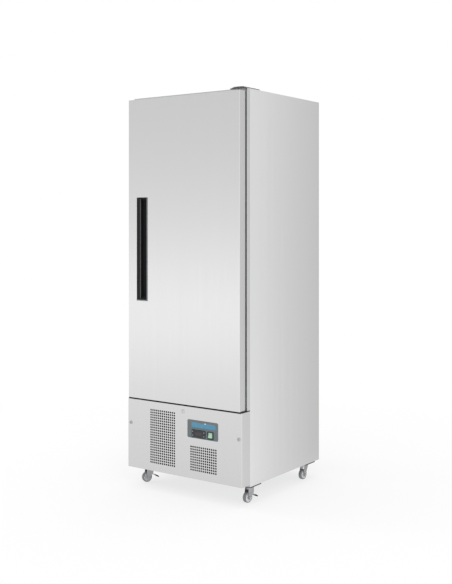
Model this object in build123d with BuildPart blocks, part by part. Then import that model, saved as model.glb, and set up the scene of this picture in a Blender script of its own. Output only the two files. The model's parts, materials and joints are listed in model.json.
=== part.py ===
# Commercial upright freezer: one insulated door over a base that holds the cooling machine.
# Millimetres. X to the right seen from the front, Y to the back, Z up.
# The origin is on the floor under the middle of the cabinet.
import os
from math import cos, hypot, radians, sin, sqrt

from build123d import *

os.makedirs("parts", exist_ok=True)

# Overall sizes
cabinet_width = 680.0
cabinet_depth = 700.0
casing_height = 1823.0
castor_height = 85.0
sheet = 1.0

# Insulated walls, from the casing's outside to the liner's inside
side_wall = 62.0
top_wall = 62.0
rear_wall = 62.0
floor_wall = 63.0
liner_sheet = 1.0

# Base panel and door
base_panel_height = 337.0
base_panel_lift = 10.0
base_panel_setback = 6.0
door_gap_below = 6.0
door_drop = 13.0
door_inset = 8.0
door_thickness = 45.0
gasket_gap = 5.0
frame_depth = 21.0
door_liner_sheet = 3.0

# Gasket
gasket_width = 16.0
gasket_inset = 12.0
gasket_clearance = 0.3
gasket_dart_width = 3.6
gasket_dart_depth = 1.8
dart_clearance = 0.2

# Handle
handle_length = 500.0
handle_width = 68.0
handle_bottom = 917.0
handle_from_edge = 53.0
handle_flange = 1.2
handle_flange_lip = 4.0
handle_depth = 25.0
handle_wall = 2.0
handle_grip_width = 17.0
handle_grip_slope = 8.0
handle_grip_thickness = 8.0
handle_end_wall = 3.0
handle_ramp = 16.0

# Hinges
hinge_from_side = 14.0
hinge_from_face = 22.0
hinge_pin_radius = 5.0
hinge_pin_clearance = 0.05
hinge_pin_length = 16.0
bush_radius = 8.0
bush_length = 18.0
bush_flange_radius = 11.0
bush_flange = 0.7
hinge_plate = 4.0
hinge_plate_clearance = 1.0
hinge_plate_length = 143.0
hinge_plate_width = 96.0
hinge_nose_width = 46.0
hinge_nose_length = 45.0
hinge_bolt_radius = 4.0
hinge_bolt_hole_radius = 4.3
hinge_bolt_head_radius = 6.5
hinge_bolt_head = 5.0
hinge_bolt_length = 14.0
hinge_bolt_from_side = 22.0
hinge_bolt_spacing_x = 48.0
hinge_bolt_from_front = 14.0
hinge_bolt_spacing_y = 52.0

# Lock
lock_height = 402.0
lock_flange_radius = 11.0
lock_flange = 2.5
lock_body_radius = 9.0
lock_body_depth = 20.0
lock_barrel_radius = 6.0
lock_clearance = 0.05
lock_barrel_proud = 0.5
lock_key_slot_length = 7.0
lock_key_slot_width = 1.4
lock_key_slot_depth = 6.0
cam_gap = 2.0
cam_plate = 3.0
cam_length = 47.0
cam_tip_radius = 4.0
cam_hub_radius = 8.0
cam_clearance = 2.0

# Vents in the base panel
vent_columns = 13
vent_left_rows = 22
vent_right_rows = 10
vent_pitch = 12.0
vent_hole_radius = 4.5
vent_bottom_row = 137.0
vent_centre = 122.0

# Control plate, controller and switch
plate_width = 178.0
plate_height = 85.0
plate_corner = 8.0
plate_thickness = 0.6
plate_centre_x = 118.0
plate_centre_z = 329.0
controller_width = 80.0
controller_height = 37.0
controller_bezel = 3.0
controller_corner = 3.0
controller_centre_x = 95.0
controller_centre_z = 309.0
controller_body_width = 71.0
controller_body_height = 29.0
controller_body_depth = 58.0
cutout_clearance = 0.3
display_width = 44.0
display_height = 20.0
display_recess = 1.0
button_size = 7.4
button_clearance = 0.3
button_proud = 0.8
button_travel = 0.8
button_depth = 1.5
button_column = 33.0
button_row = 9.0
switch_width = 35.0
switch_height = 37.0
switch_bezel = 2.5
switch_corner = 2.0
switch_centre_x = 163.0
switch_centre_z = 309.0
switch_body_width = 27.0
switch_body_height = 31.0
switch_body_depth = 22.0
switch_wall = 1.5
rocker_corner_reach = 6.5
rocker_half_height = 12.0
rocker_dish = 2.0
rocker_back = 5.0
rocker_pivot_depth = 4.0
rocker_side_clearance = 0.6
rocker_pin_radius = 1.6
rocker_pin_length = 1.4
rocker_pin_clearance = 0.05
rocker_tilt = 10.0

# Front panel screws and the tabs that take them
screw_height = 313.0
screw_from_side = 18.0
screw_head_radius = 8.5
screw_head = 3.0
screw_radius = 2.5
screw_hole_radius = 2.8
screw_length = 12.0
tab_width = 24.0
tab_sheet = 1.5

# Castors
castor_from_side = 38.0
castor_front_y = -226.0
castor_rear_y = 268.0
castor_plate_width = 74.0
castor_plate_length = 92.0
castor_plate = 2.5
castor_plate_corner = 6.0
castor_bolt_spacing_x = 48.0
castor_bolt_spacing_y = 70.0
castor_bolt_hole_radius = 4.2
castor_bolt_radius = 4.0
castor_bolt_head_radius = 6.5
castor_bolt_head = 4.5
castor_race_radius = 23.0
castor_race = 6.0
castor_race_gap = 0.3
king_pin_radius = 5.0
king_pin_clearance = 0.05
king_pin_head_radius = 8.0
king_pin_head = 3.0
fork_top = 2.5
fork_cheek = 2.0
fork_side_clearance = 1.0
fork_top_radius = 22.0
fork_axle_boss = 9.0
wheel_radius = 25.0
wheel_width = 18.0
wheel_hub_width = 20.0
wheel_hub_radius = 8.0
wheel_rim_radius = 17.5
wheel_web_recess = 4.0
wheel_tread_corner = 4.0
axle_radius = 4.0
axle_clearance = 0.06
axle_head_radius = 7.0
axle_head = 4.0
axle_head_gap = 0.05
castor_trail = 15.0
castor_angles = {"front_left": 66.0, "front_right": 82.0, "rear_left": 60.0, "rear_right": 86.0}

# Brake pedals on the front castors
brake_pivot_ahead = 9.0
brake_pivot_height = 46.0
brake_pin_radius = 2.5
brake_pin_clearance = 0.05
brake_lug_radius = 6.0
brake_eye_radius = 5.0
brake_width = 18.0
brake_reach = 46.0
brake_tip_height = 20.0
brake_sheet = 3.0
brake_shoe_ahead = 14.2
brake_shoe_height = 33.0
brake_shoe_radius = 2.5

# Shelves, pilasters and clips
shelf_heights = [790.0, 1080.0, 1370.0]
shelf_width = 528.0
shelf_depth = 540.0
shelf_rod_radius = 3.5
shelf_wire_radius = 1.8
shelf_wire_pitch = 24.0
shelf_brace_count = 3
shelf_seat_clearance = 0.3
pilaster_width = 20.0
pilaster_depth = 8.0
pilaster_sheet = 1.2
pilaster_bottom = 520.0
pilaster_top = 1680.0
pilaster_y = 200.0
pilaster_slot_pitch = 30.0
pilaster_slot_width = 8.0
pilaster_slot_height = 5.0
clip_length = 12.0
clip_width = 16.0
clip_height = 18.0
clip_sheet = 2.0

# Evaporator under the cavity's ceiling
evaporator_width = 500.0
evaporator_front_y = -90.0
evaporator_back_y = 270.0
evaporator_height = 146.0
evaporator_sheet = 1.0
evaporator_fan_opening = 68.0
evaporator_guard_rings = [20.0, 44.0]
evaporator_guard_ring = 3.0
evaporator_spoke = 6.0
evaporator_blade_radius = 62.0
evaporator_hub_radius = 18.0
evaporator_hub_length = 22.0
evaporator_motor_radius = 32.0
evaporator_motor_length = 50.0
evaporator_motor_gap = 4.0
evaporator_fan_gap = 12.0
evaporator_coil_width = 430.0
evaporator_coil_front_y = 60.0
evaporator_coil_back_y = 240.0
evaporator_coil_height = 129.0
evaporator_fins = 30
fin_thickness = 1.5

# Fans
fan_blades = 5
fan_blade_thickness = 1.6
fan_blade_pitch = 32.0
fan_shaft_radius = 3.0
fan_shaft_clearance = 0.05
fan_shaft_length = 16.0
motor_bracket_width = 40.0
motor_bracket_sheet = 3.0

# Machine compartment
chassis_sheet = 2.0
chassis_flange = 25.0
compressor_x = -150.0
compressor_y = 150.0
compressor_radius = 72.0
compressor_base = 108.0
compressor_top = 262.0
compressor_round = 26.0
compressor_feet_width = 160.0
compressor_feet_depth = 116.0
compressor_feet = 4.0
compressor_mount_radius = 11.0
compressor_mount_inset = 14.0
terminal_box_width = 44.0
terminal_box_depth = 22.0
terminal_box_height = 60.0
condenser_x = -146.0
condenser_front_y = -270.0
condenser_back_y = -215.0
condenser_width = 232.0
condenser_height = 292.0
condenser_bottom = 100.0
condenser_fins = 26
condenser_end_sheet = 2.0
condenser_end_margin = 5.0
bend_radius = 4.0
bend_spacing = 26.0
bend_rows = 5
shroud_sheet = 1.5
shroud_opening = 104.0
shroud_duct = 24.0
condenser_blade_radius = 98.0
condenser_hub_radius = 22.0
condenser_hub_length = 28.0
condenser_fan_gap = 4.0
condenser_motor_radius = 38.0
condenser_motor_length = 55.0
condenser_motor_gap = 5.0
tray_x = 150.0
tray_y = 190.0
tray_width = 220.0
tray_depth = 240.0
tray_height = 40.0
tray_wall = 1.5
suction_x = -150.0
suction_height = 1775.0
suction_end_height = 225.0
suction_radius = 5.0
discharge_radius = 4.0
discharge_x = 32.0
discharge_height = 180.0
drain_x = 150.0
drain_outlet_y = 262.0
drain_turn_height = 1655.0
drain_end_height = 150.0
drain_radius = 7.0
pipe_bend = 12.0
pipe_channel = 3.0
pipe_wall_y = 322.0
rear_vent_rows = 10
rear_vent_pitch = 24.0
rear_vent_slot_length = 170.0
rear_vent_slot_height = 6.0
rear_vent_columns = 3
rear_vent_column_pitch = 200.0
gland_x = 292.0
gland_z = 150.0
gland_thread_radius = 9.0
gland_flange_radius = 15.0
gland_flange = 1.2
gland_bore_radius = 4.5
gland_length = 24.0
gland_nut_radius = 14.0
gland_nut = 5.0

# Places that follow from the sizes above
half_width = cabinet_width / 2
rear_y = cabinet_depth / 2
door_face = -cabinet_depth / 2
casing_bottom = castor_height
casing_top = casing_bottom + casing_height
base_bottom = casing_bottom + base_panel_lift
base_top = base_bottom + base_panel_height
base_face = door_face + base_panel_setback
door_back = door_face + door_thickness
frame_face = door_back + gasket_gap
frame_back = frame_face + frame_depth
door_bottom = base_top + door_gap_below
door_top = casing_top - door_drop
door_half = half_width - door_inset
box_bottom = base_top + hinge_plate + hinge_plate_clearance
cavity_half = half_width - side_wall
cavity_floor = box_bottom + floor_wall
cavity_ceiling = casing_top - top_wall
cavity_rear = rear_y - rear_wall
liner_half = cavity_half + liner_sheet
hinge_x = door_half - hinge_from_side
hinge_y = door_face + hinge_from_face
chassis_top = casing_bottom + chassis_sheet
cam_y = base_face + lock_body_depth + cam_gap
handle_left = -door_half + handle_from_edge
evaporator_bottom = cavity_ceiling - evaporator_height
fan_axis_height = evaporator_bottom + evaporator_height / 2
condenser_axis_height = condenser_bottom + condenser_height / 2


def span(centre, size):
    """A range of the given size about its centre."""
    return (centre - size / 2, centre + size / 2)


def block(x, y, z, mode=Mode.ADD):
    """A box in the current part between the given low and high values."""
    middle = tuple((low + high) / 2 for low, high in (x, y, z))
    with Locations(middle):
        Box(x[1] - x[0], y[1] - y[0], z[1] - z[0], mode=mode)


def front_plane(y):
    """The plane at this y that faces the front: its own x is X and its own y is Z."""
    return Plane.XZ.offset(-y)


def rod(start, end, radius, mode=Mode.ADD):
    """A round bar in the current part from one point to another."""
    axis = Vector(*end) - Vector(*start)
    with BuildSketch(Plane(origin=start, z_dir=axis)) as end_face:
        Circle(radius)
    extrude(end_face.sketch, amount=axis.length, mode=mode)


def save(piece, node):
    piece.part.label = node
    export_step(piece.part, f"parts/{node}.step")
    print(node, len(piece.part.solids()), round(piece.part.volume))


# Casing sheets and insulation
def casing_side(side):
    inner, outer = sorted((side * (half_width - sheet), side * half_width))
    with BuildPart() as panel:
        block((inner, outer), (frame_back, rear_y), (casing_bottom, casing_top))
        front_edge = panel.edges().filter_by(Axis.Z).group_by(Axis.Y)[0]
        outer_edge = front_edge.sort_by(Axis.X)[-1 if side > 0 else 0]
        fillet(outer_edge, sheet / 2)
    return panel


def hinge_bolt_points():
    """Plan positions of the bolts that hold each hinge plate."""
    x = half_width - hinge_bolt_from_side
    y = frame_back + hinge_bolt_from_front
    return [
        (x, y),
        (x, y + hinge_bolt_spacing_y),
        (x - hinge_bolt_spacing_x, y + hinge_bolt_spacing_y / 2),
    ]


def cut_hinge_bolt_holes(low, high):
    with BuildSketch(Plane.XY.offset(low)) as holes:
        with Locations(*hinge_bolt_points()):
            Circle(hinge_bolt_hole_radius)
    extrude(holes.sketch, amount=high - low, mode=Mode.SUBTRACT)


def top_sheet():
    with BuildPart() as panel:
        x = (-half_width + sheet, half_width - sheet)
        block(x, (frame_back, rear_y - sheet), (casing_top - sheet, casing_top))
        cut_hinge_bolt_holes(casing_top - sheet, casing_top)
    return panel


def rear_sheet():
    with BuildPart() as panel:
        x = (-half_width + sheet, half_width - sheet)
        block(x, (rear_y - sheet, rear_y), (box_bottom, casing_top))
    return panel


def pipe_slot(x, radius, low, high):
    """The channel in the rear wall that a pipe runs down."""
    width = span(x, 2 * (radius + pipe_channel))
    depth = (pipe_wall_y - radius - pipe_channel, rear_y - sheet)
    block(width, depth, (low, high), mode=Mode.SUBTRACT)


def bottom_sheet():
    with BuildPart() as panel:
        x = (-half_width + sheet, half_width - sheet)
        block(x, (frame_back, rear_y - sheet), (box_bottom, box_bottom + sheet))
        for pipe_x, radius in ((suction_x, suction_radius), (drain_x, drain_radius)):
            pipe_slot(pipe_x, radius, box_bottom, box_bottom + sheet)
        cut_hinge_bolt_holes(box_bottom, box_bottom + sheet)
    return panel


def cut_wall_hole(x, radius, height):
    """The hole through the liner and the wall that a pipe goes out by."""
    reach = radius + pipe_channel
    rod((x, cavity_rear - sheet, height), (x, pipe_wall_y, height), reach, Mode.SUBTRACT)


def insulation():
    with BuildPart() as foam:
        block(
            (-half_width + sheet, half_width - sheet),
            (frame_back, rear_y - sheet),
            (box_bottom + sheet, casing_top - sheet),
        )
        block(
            (-liner_half, liner_half),
            (frame_back, cavity_rear + liner_sheet),
            (cavity_floor - liner_sheet, cavity_ceiling + liner_sheet),
            mode=Mode.SUBTRACT,
        )
        outlets = (
            (suction_x, suction_radius, suction_height),
            (drain_x, drain_radius, drain_turn_height),
        )
        for x, radius, height in outlets:
            pipe_slot(x, radius, box_bottom + sheet, height + radius + pipe_channel)
            cut_wall_hole(x, radius, height)
        bolt_end = casing_top - hinge_bolt_length
        cut_hinge_bolt_holes(bolt_end, casing_top - sheet)
        cut_hinge_bolt_holes(box_bottom + sheet, box_bottom + hinge_bolt_length)
    return foam


def liner():
    with BuildPart() as shell:
        block(
            (-liner_half, liner_half),
            (frame_face, cavity_rear + liner_sheet),
            (cavity_floor - liner_sheet, cavity_ceiling + liner_sheet),
        )
        block(
            (-cavity_half, cavity_half),
            (frame_face, cavity_rear),
            (cavity_floor, cavity_ceiling),
            mode=Mode.SUBTRACT,
        )
        cut_wall_hole(suction_x, suction_radius, suction_height)
        cut_wall_hole(drain_x, drain_radius, drain_turn_height)
    return shell


def face_frame():
    with BuildPart() as frame:
        block((-half_width, half_width), (frame_face, frame_back), (box_bottom, casing_top))
        fillet(frame.edges().filter_by(Axis.Z).group_by(Axis.Y)[0], 2 * sheet)
        block(
            (-liner_half, liner_half),
            (frame_face, frame_back),
            (cavity_floor - liner_sheet, cavity_ceiling + liner_sheet),
            mode=Mode.SUBTRACT,
        )
    return frame


# Base panel with its vents
def cut_from_face(x, z, width, height, depth, face):
    """A rectangular cut that goes back from a face, centred at x and z."""
    block(span(x, width), (face, face + depth), span(z, height), mode=Mode.SUBTRACT)


def cut_vents():
    pitch = vent_pitch
    rows = ((-vent_centre, vent_left_rows), (vent_centre, vent_right_rows))
    with BuildSketch(front_plane(base_face + sheet)) as holes:
        for x, count in rows:
            z = vent_bottom_row + (count - 1) * pitch / 2
            with Locations((x, z)):
                with GridLocations(pitch, pitch, vent_columns, count):
                    Circle(vent_hole_radius)
    extrude(holes.sketch, amount=sheet, mode=Mode.SUBTRACT)


def cam_reach(height):
    """How far to the right the turning cam reaches at this height."""
    tip = hypot(cam_length, cam_tip_radius)
    return sqrt(max(tip**2 - (height - lock_height) ** 2, cam_tip_radius**2))


def cam_window(height):
    """The x range that the turning cam needs at this height."""
    return (-cam_tip_radius - cam_clearance, cam_reach(height) + cam_clearance)


def base_panel():
    with BuildPart() as panel:
        block((-half_width, half_width), (base_face, frame_back), (base_bottom, base_top))
        fillet(panel.edges().filter_by(Axis.Z).group_by(Axis.Y)[0], 2 * sheet)
        block(
            (-half_width + sheet, half_width - sheet),
            (base_face + sheet, frame_back),
            (base_bottom + sheet, base_top - sheet),
            mode=Mode.SUBTRACT,
        )
        cut_vents()
        cut_from_face(
            controller_centre_x,
            controller_centre_z,
            controller_body_width + 2 * cutout_clearance,
            controller_body_height + 2 * cutout_clearance,
            sheet,
            base_face,
        )
        cut_from_face(
            switch_centre_x,
            switch_centre_z,
            switch_body_width + 2 * cutout_clearance,
            switch_body_height + 2 * cutout_clearance,
            sheet,
            base_face,
        )
        with BuildSketch(front_plane(base_face + sheet)):
            with Locations((0, lock_height)):
                Circle(lock_body_radius + cutout_clearance)
            with Locations(*screw_points()):
                Circle(screw_hole_radius)
        extrude(amount=sheet, mode=Mode.SUBTRACT)
        cam_depth = (cam_y - cam_clearance, cam_y + cam_plate + cam_clearance)
        block(cam_window(base_top - sheet), cam_depth, (base_top - sheet, base_top), Mode.SUBTRACT)
    return panel


def screw_points():
    x = half_width - screw_from_side
    return [(-x, screw_height), (x, screw_height)]


def castor_places():
    """Name, x and y of each castor's king pin."""
    x = half_width - castor_from_side
    return {
        "front_left": (-x, castor_front_y),
        "front_right": (x, castor_front_y),
        "rear_left": (-x, castor_rear_y),
        "rear_right": (x, castor_rear_y),
    }


def fixings():
    """Screws of the base panel and bolts of the hinge plates and the castors."""
    with BuildPart() as screws:
        with BuildSketch(front_plane(base_face)):
            with Locations(*screw_points()):
                Circle(screw_head_radius)
        extrude(amount=screw_head)
        heads = screws.faces().sort_by(Axis.Y)[0:2]
        fillet(heads.edges(), screw_head / 2)
        with BuildSketch(front_plane(base_face)):
            with Locations(*screw_points()):
                Circle(screw_radius)
        extrude(amount=-screw_length)
        top = casing_top + hinge_plate
        for seat, way in ((top, 1), (box_bottom - hinge_plate, -1)):
            head_end = seat + way * hinge_bolt_head
            shank_end = seat - way * (hinge_bolt_length + hinge_plate - sheet)
            with BuildSketch(Plane.XY.offset(min(seat, head_end))):
                with Locations(*hinge_bolt_points()):
                    RegularPolygon(hinge_bolt_head_radius, 6)
            extrude(amount=hinge_bolt_head)
            with BuildSketch(Plane.XY.offset(min(seat, shank_end))):
                with Locations(*hinge_bolt_points()):
                    Circle(hinge_bolt_radius)
            extrude(amount=abs(seat - shank_end))
        plate_bottom = castor_height - castor_plate
        head_end = plate_bottom - castor_bolt_head
        nut_end = chassis_top + castor_bolt_head
        for low, high in ((head_end, plate_bottom), (chassis_top, nut_end)):
            for place in castor_places().values():
                with BuildSketch(Plane.XY.offset(low)):
                    with Locations(place):
                        with GridLocations(castor_bolt_spacing_x, castor_bolt_spacing_y, 2, 2):
                            RegularPolygon(castor_bolt_head_radius, 6)
                extrude(amount=high - low)
        for place in castor_places().values():
            with BuildSketch(Plane.XY.offset(head_end)):
                with Locations(place):
                    with GridLocations(castor_bolt_spacing_x, castor_bolt_spacing_y, 2, 2):
                        Circle(castor_bolt_radius)
            extrude(amount=nut_end - head_end)
    return screws


# Lock
def lock_case():
    with BuildPart() as case:
        with BuildSketch(front_plane(base_face)):
            with Locations((0, lock_height)):
                Circle(lock_flange_radius)
        extrude(amount=lock_flange)
        fillet(case.faces().sort_by(Axis.Y)[0].edges(), lock_flange / 3)
        back = base_face + lock_body_depth
        rod((0, base_face, lock_height), (0, back, lock_height), lock_body_radius)
        front = base_face - lock_flange
        bore = lock_barrel_radius + lock_clearance
        rod((0, front, lock_height), (0, back, lock_height), bore, Mode.SUBTRACT)
    return case


def lock_plug():
    with BuildPart() as barrel:
        front = base_face - lock_flange - lock_barrel_proud
        rod((0, front, lock_height), (0, cam_y, lock_height), lock_barrel_radius)
        cut_from_face(
            0, lock_height, lock_key_slot_width, lock_key_slot_length, lock_key_slot_depth, front
        )
    return barrel


def lock_tongue():
    """The cam, lying to the right when the lock is open."""
    with BuildPart() as cam:
        with BuildSketch(front_plane(cam_y)):
            with Locations((0, lock_height)):
                Circle(cam_hub_radius)
            with Locations((cam_length - cam_tip_radius, lock_height)):
                Circle(cam_tip_radius)
            make_hull()
        extrude(amount=-cam_plate)
    return cam


# Controls
def control_sheet():
    with BuildPart() as overlay:
        with BuildSketch(front_plane(base_face)):
            with Locations((plate_centre_x, plate_centre_z)):
                RectangleRounded(plate_width, plate_height, plate_corner)
            with Locations((controller_centre_x, controller_centre_z)):
                Rectangle(
                    controller_body_width + 2 * cutout_clearance,
                    controller_body_height + 2 * cutout_clearance,
                    mode=Mode.SUBTRACT,
                )
            with Locations((switch_centre_x, switch_centre_z)):
                Rectangle(
                    switch_body_width + 2 * cutout_clearance,
                    switch_body_height + 2 * cutout_clearance,
                    mode=Mode.SUBTRACT,
                )
        extrude(amount=plate_thickness)
    return overlay


def button_points():
    """Centres of the four keys, two on each side of the display."""
    return [
        (controller_centre_x + side * button_column, controller_centre_z + row * button_row)
        for side in (-1, 1)
        for row in (1, -1)
    ]


def bezel_face(thickness):
    return base_face - plate_thickness - thickness


def controller_case():
    with BuildPart() as case:
        with BuildSketch(front_plane(bezel_face(0))):
            with Locations((controller_centre_x, controller_centre_z)):
                RectangleRounded(controller_width, controller_height, controller_corner)
        extrude(amount=controller_bezel)
        chamfer(case.faces().sort_by(Axis.Y)[0].edges(), controller_bezel / 4)
        block(
            span(controller_centre_x, controller_body_width),
            (bezel_face(0), bezel_face(0) + controller_body_depth),
            span(controller_centre_z, controller_body_height),
        )
        face = bezel_face(controller_bezel)
        cut_from_face(
            controller_centre_x, controller_centre_z, display_width, display_height, display_recess, face
        )
        pocket = button_size + 2 * button_clearance
        depth = button_depth + button_travel + button_clearance
        for x, z in button_points():
            cut_from_face(x, z, pocket, pocket, depth, face)
    return case


def key(x, z):
    face = bezel_face(controller_bezel)
    with BuildPart() as button:
        depth = (face - button_proud, face + button_depth)
        block(span(x, button_size), depth, span(z, button_size))
        fillet(button.faces().sort_by(Axis.Y)[0].edges(), button_proud / 2)
    return button


def rocker_pivot():
    """The y of the rocker's axle, behind the switch's bezel."""
    return bezel_face(0) + rocker_pivot_depth


def switch_case():
    inner_half = switch_body_width / 2 - switch_wall
    with BuildPart() as case:
        with BuildSketch(front_plane(bezel_face(0))):
            with Locations((switch_centre_x, switch_centre_z)):
                RectangleRounded(switch_width, switch_height, switch_corner)
        extrude(amount=switch_bezel)
        chamfer(case.faces().sort_by(Axis.Y)[0].edges(), switch_bezel / 4)
        block(
            span(switch_centre_x, switch_body_width),
            (bezel_face(0), bezel_face(0) + switch_body_depth),
            span(switch_centre_z, switch_body_height),
        )
        block(
            (switch_centre_x - inner_half, switch_centre_x + inner_half),
            (bezel_face(switch_bezel), bezel_face(0) + switch_body_depth - switch_wall),
            span(switch_centre_z, switch_body_height - 2 * switch_wall),
            mode=Mode.SUBTRACT,
        )
        reach = inner_half + switch_wall
        rod(
            (switch_centre_x - reach, rocker_pivot(), switch_centre_z),
            (switch_centre_x + reach, rocker_pivot(), switch_centre_z),
            rocker_pin_radius + rocker_pin_clearance,
            Mode.SUBTRACT,
        )
    return case


def rocker():
    """The rocker at its lit position: its top half is pressed in."""
    half = switch_body_width / 2 - switch_wall - rocker_side_clearance
    tilt = radians(rocker_tilt)

    def turned(forward, up):
        """A point of the level rocker, in Y and Z, turned about the axle."""
        y = rocker_pivot() - forward * cos(tilt) + up * sin(tilt)
        z = switch_centre_z + forward * sin(tilt) + up * cos(tilt)
        return (y, z)

    corner = rocker_corner_reach
    points = [
        turned(corner, rocker_half_height),
        turned(corner - rocker_dish, 0),
        turned(corner, -rocker_half_height),
        turned(-rocker_back, -rocker_half_height / 2),
        turned(-rocker_back, rocker_half_height / 2),
    ]
    with BuildPart() as button:
        with BuildSketch(Plane.YZ.offset(switch_centre_x - half)):
            with BuildLine():
                Polyline(*points, close=True)
            make_face()
        extrude(amount=2 * half)
        pin_half = half + rocker_side_clearance + rocker_pin_length
        rod(
            (switch_centre_x - pin_half, rocker_pivot(), switch_centre_z),
            (switch_centre_x + pin_half, rocker_pivot(), switch_centre_z),
            rocker_pin_radius,
        )
    return button


# Door
def handle_box(grow=0.0):
    """The space that the handle's cup takes in the door: x, y and z ranges."""
    x = (handle_left + handle_flange_lip - grow, handle_left + handle_width - handle_flange_lip + grow)
    y = (door_face, door_face + handle_depth)
    z = (handle_bottom + handle_flange_lip - grow, handle_bottom + handle_length - handle_flange_lip + grow)
    return x, y, z


def cut_bush_holes(radius, depth_top, depth_bottom):
    rod((hinge_x, hinge_y, door_top - depth_top), (hinge_x, hinge_y, door_top), radius, Mode.SUBTRACT)
    rod(
        (hinge_x, hinge_y, door_bottom),
        (hinge_x, hinge_y, door_bottom + depth_bottom),
        radius,
        Mode.SUBTRACT,
    )


def cut_cam_pocket(low, high):
    depth = (cam_y - cam_clearance, cam_y + cam_plate + cam_clearance)
    block(cam_window(door_bottom), depth, (low, high), Mode.SUBTRACT)


def door_shell():
    with BuildPart() as skin:
        block((-door_half, door_half), (door_face, door_back), (door_bottom, door_top))
        fillet(skin.edges().filter_by(Axis.Z).group_by(Axis.Y)[0], 2 * sheet)
        block(
            (-door_half + sheet, door_half - sheet),
            (door_face + sheet, door_back),
            (door_bottom + sheet, door_top - sheet),
            mode=Mode.SUBTRACT,
        )
        block(*handle_box(), mode=Mode.SUBTRACT)
        cut_bush_holes(bush_radius, sheet, sheet)
        cut_cam_pocket(door_bottom, door_bottom + sheet)
    return skin


def door_insulation():
    with BuildPart() as foam:
        block(
            (-door_half + sheet, door_half - sheet),
            (door_face + sheet, door_back - door_liner_sheet),
            (door_bottom + sheet, door_top - sheet),
        )
        block(*handle_box(), mode=Mode.SUBTRACT)
        cut_bush_holes(bush_radius, bush_length, bush_length)
        pocket_top = lock_height + hypot(cam_length, cam_tip_radius) + cam_clearance
        cut_cam_pocket(door_bottom + sheet, pocket_top)
    return foam


def gasket_ring(width, inset, low, high, mode=Mode.ADD):
    """A rectangular ring of the given width, set in from the door's edges."""
    centre = (door_top + door_bottom) / 2
    outer_x = 2 * (door_half - inset)
    outer_z = door_top - door_bottom - 2 * inset
    with BuildSketch(front_plane(high)) as ring:
        with Locations((0, centre)):
            Rectangle(outer_x, outer_z)
            Rectangle(outer_x - 2 * width, outer_z - 2 * width, mode=Mode.SUBTRACT)
    extrude(ring.sketch, amount=high - low, mode=mode)


dart_inset = gasket_inset + (gasket_width - gasket_dart_width) / 2


def door_back_sheet():
    with BuildPart() as panel:
        block(
            (-door_half + sheet, door_half - sheet),
            (door_back - door_liner_sheet, door_back),
            (door_bottom + sheet, door_top - sheet),
        )
        gasket_ring(
            gasket_dart_width + 2 * dart_clearance,
            dart_inset - dart_clearance,
            door_back - gasket_dart_depth - dart_clearance,
            door_back,
            Mode.SUBTRACT,
        )
    return panel


def seal():
    with BuildPart() as gasket:
        gasket_ring(gasket_width, gasket_inset, door_back, frame_face - gasket_clearance)
        gasket_ring(gasket_dart_width, dart_inset, door_back - gasket_dart_depth, door_back)
    return gasket


def handle():
    """A moulded cup with a grip along its left side for the fingers to hook behind."""
    face = door_face - handle_flange
    right = handle_left + handle_width
    x, y, z = handle_box()
    grip_edge = handle_left + handle_grip_width
    hollow_left = x[0] + handle_wall
    hollow_right = x[1] - handle_wall
    hollow_back = y[1] - handle_wall
    grip_back = face + handle_grip_thickness
    corner = handle_wall * 2
    hollow = [
        (grip_edge, face),
        (grip_edge + handle_grip_slope, face + handle_grip_thickness - handle_wall),
        (grip_edge + handle_grip_slope - handle_wall, grip_back),
        (hollow_left, grip_back),
        (hollow_left, hollow_back - corner),
        (hollow_left + corner, hollow_back),
        (hollow_right - corner, hollow_back),
        (hollow_right, hollow_back - corner),
        (hollow_right, face),
    ]
    with BuildPart() as cup:
        z_span = (handle_bottom, handle_bottom + handle_length)
        block((handle_left, right), (face, door_face), z_span)
        fillet(cup.edges().filter_by(Axis.Y), handle_flange_lip / 2)
        chamfer(cup.faces().sort_by(Axis.Y)[0].edges(), handle_flange / 3)
        block(x, y, z)
        with BuildSketch(Plane.XY.offset(z[0] + handle_end_wall)):
            with BuildLine():
                Polyline(*hollow, close=True)
            make_face()
        extrude(amount=z[1] - z[0] - 2 * handle_end_wall, mode=Mode.SUBTRACT)
        ends = ((z[0] + handle_end_wall, 1), (z[1] - handle_end_wall, -1))
        for level, way in ends:
            with BuildSketch(Plane.YZ.offset(hollow_left)):
                with BuildLine():
                    Polyline(
                        (hollow_back, level),
                        (grip_back, level),
                        (hollow_back, level + way * handle_ramp),
                        close=True,
                    )
                make_face()
            extrude(amount=hollow_right - hollow_left)
    return cup


def bushes():
    bore = hinge_pin_radius + hinge_pin_clearance
    with BuildPart() as pair:
        for end, way in ((door_top, 1), (door_bottom, -1)):
            inner = (hinge_x, hinge_y, end - way * bush_length)
            outer = (hinge_x, hinge_y, end + way * bush_flange)
            rod(inner, (hinge_x, hinge_y, end), bush_radius)
            rod((hinge_x, hinge_y, end), outer, bush_flange_radius)
            rod(inner, outer, bore, Mode.SUBTRACT)
    return pair


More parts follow.
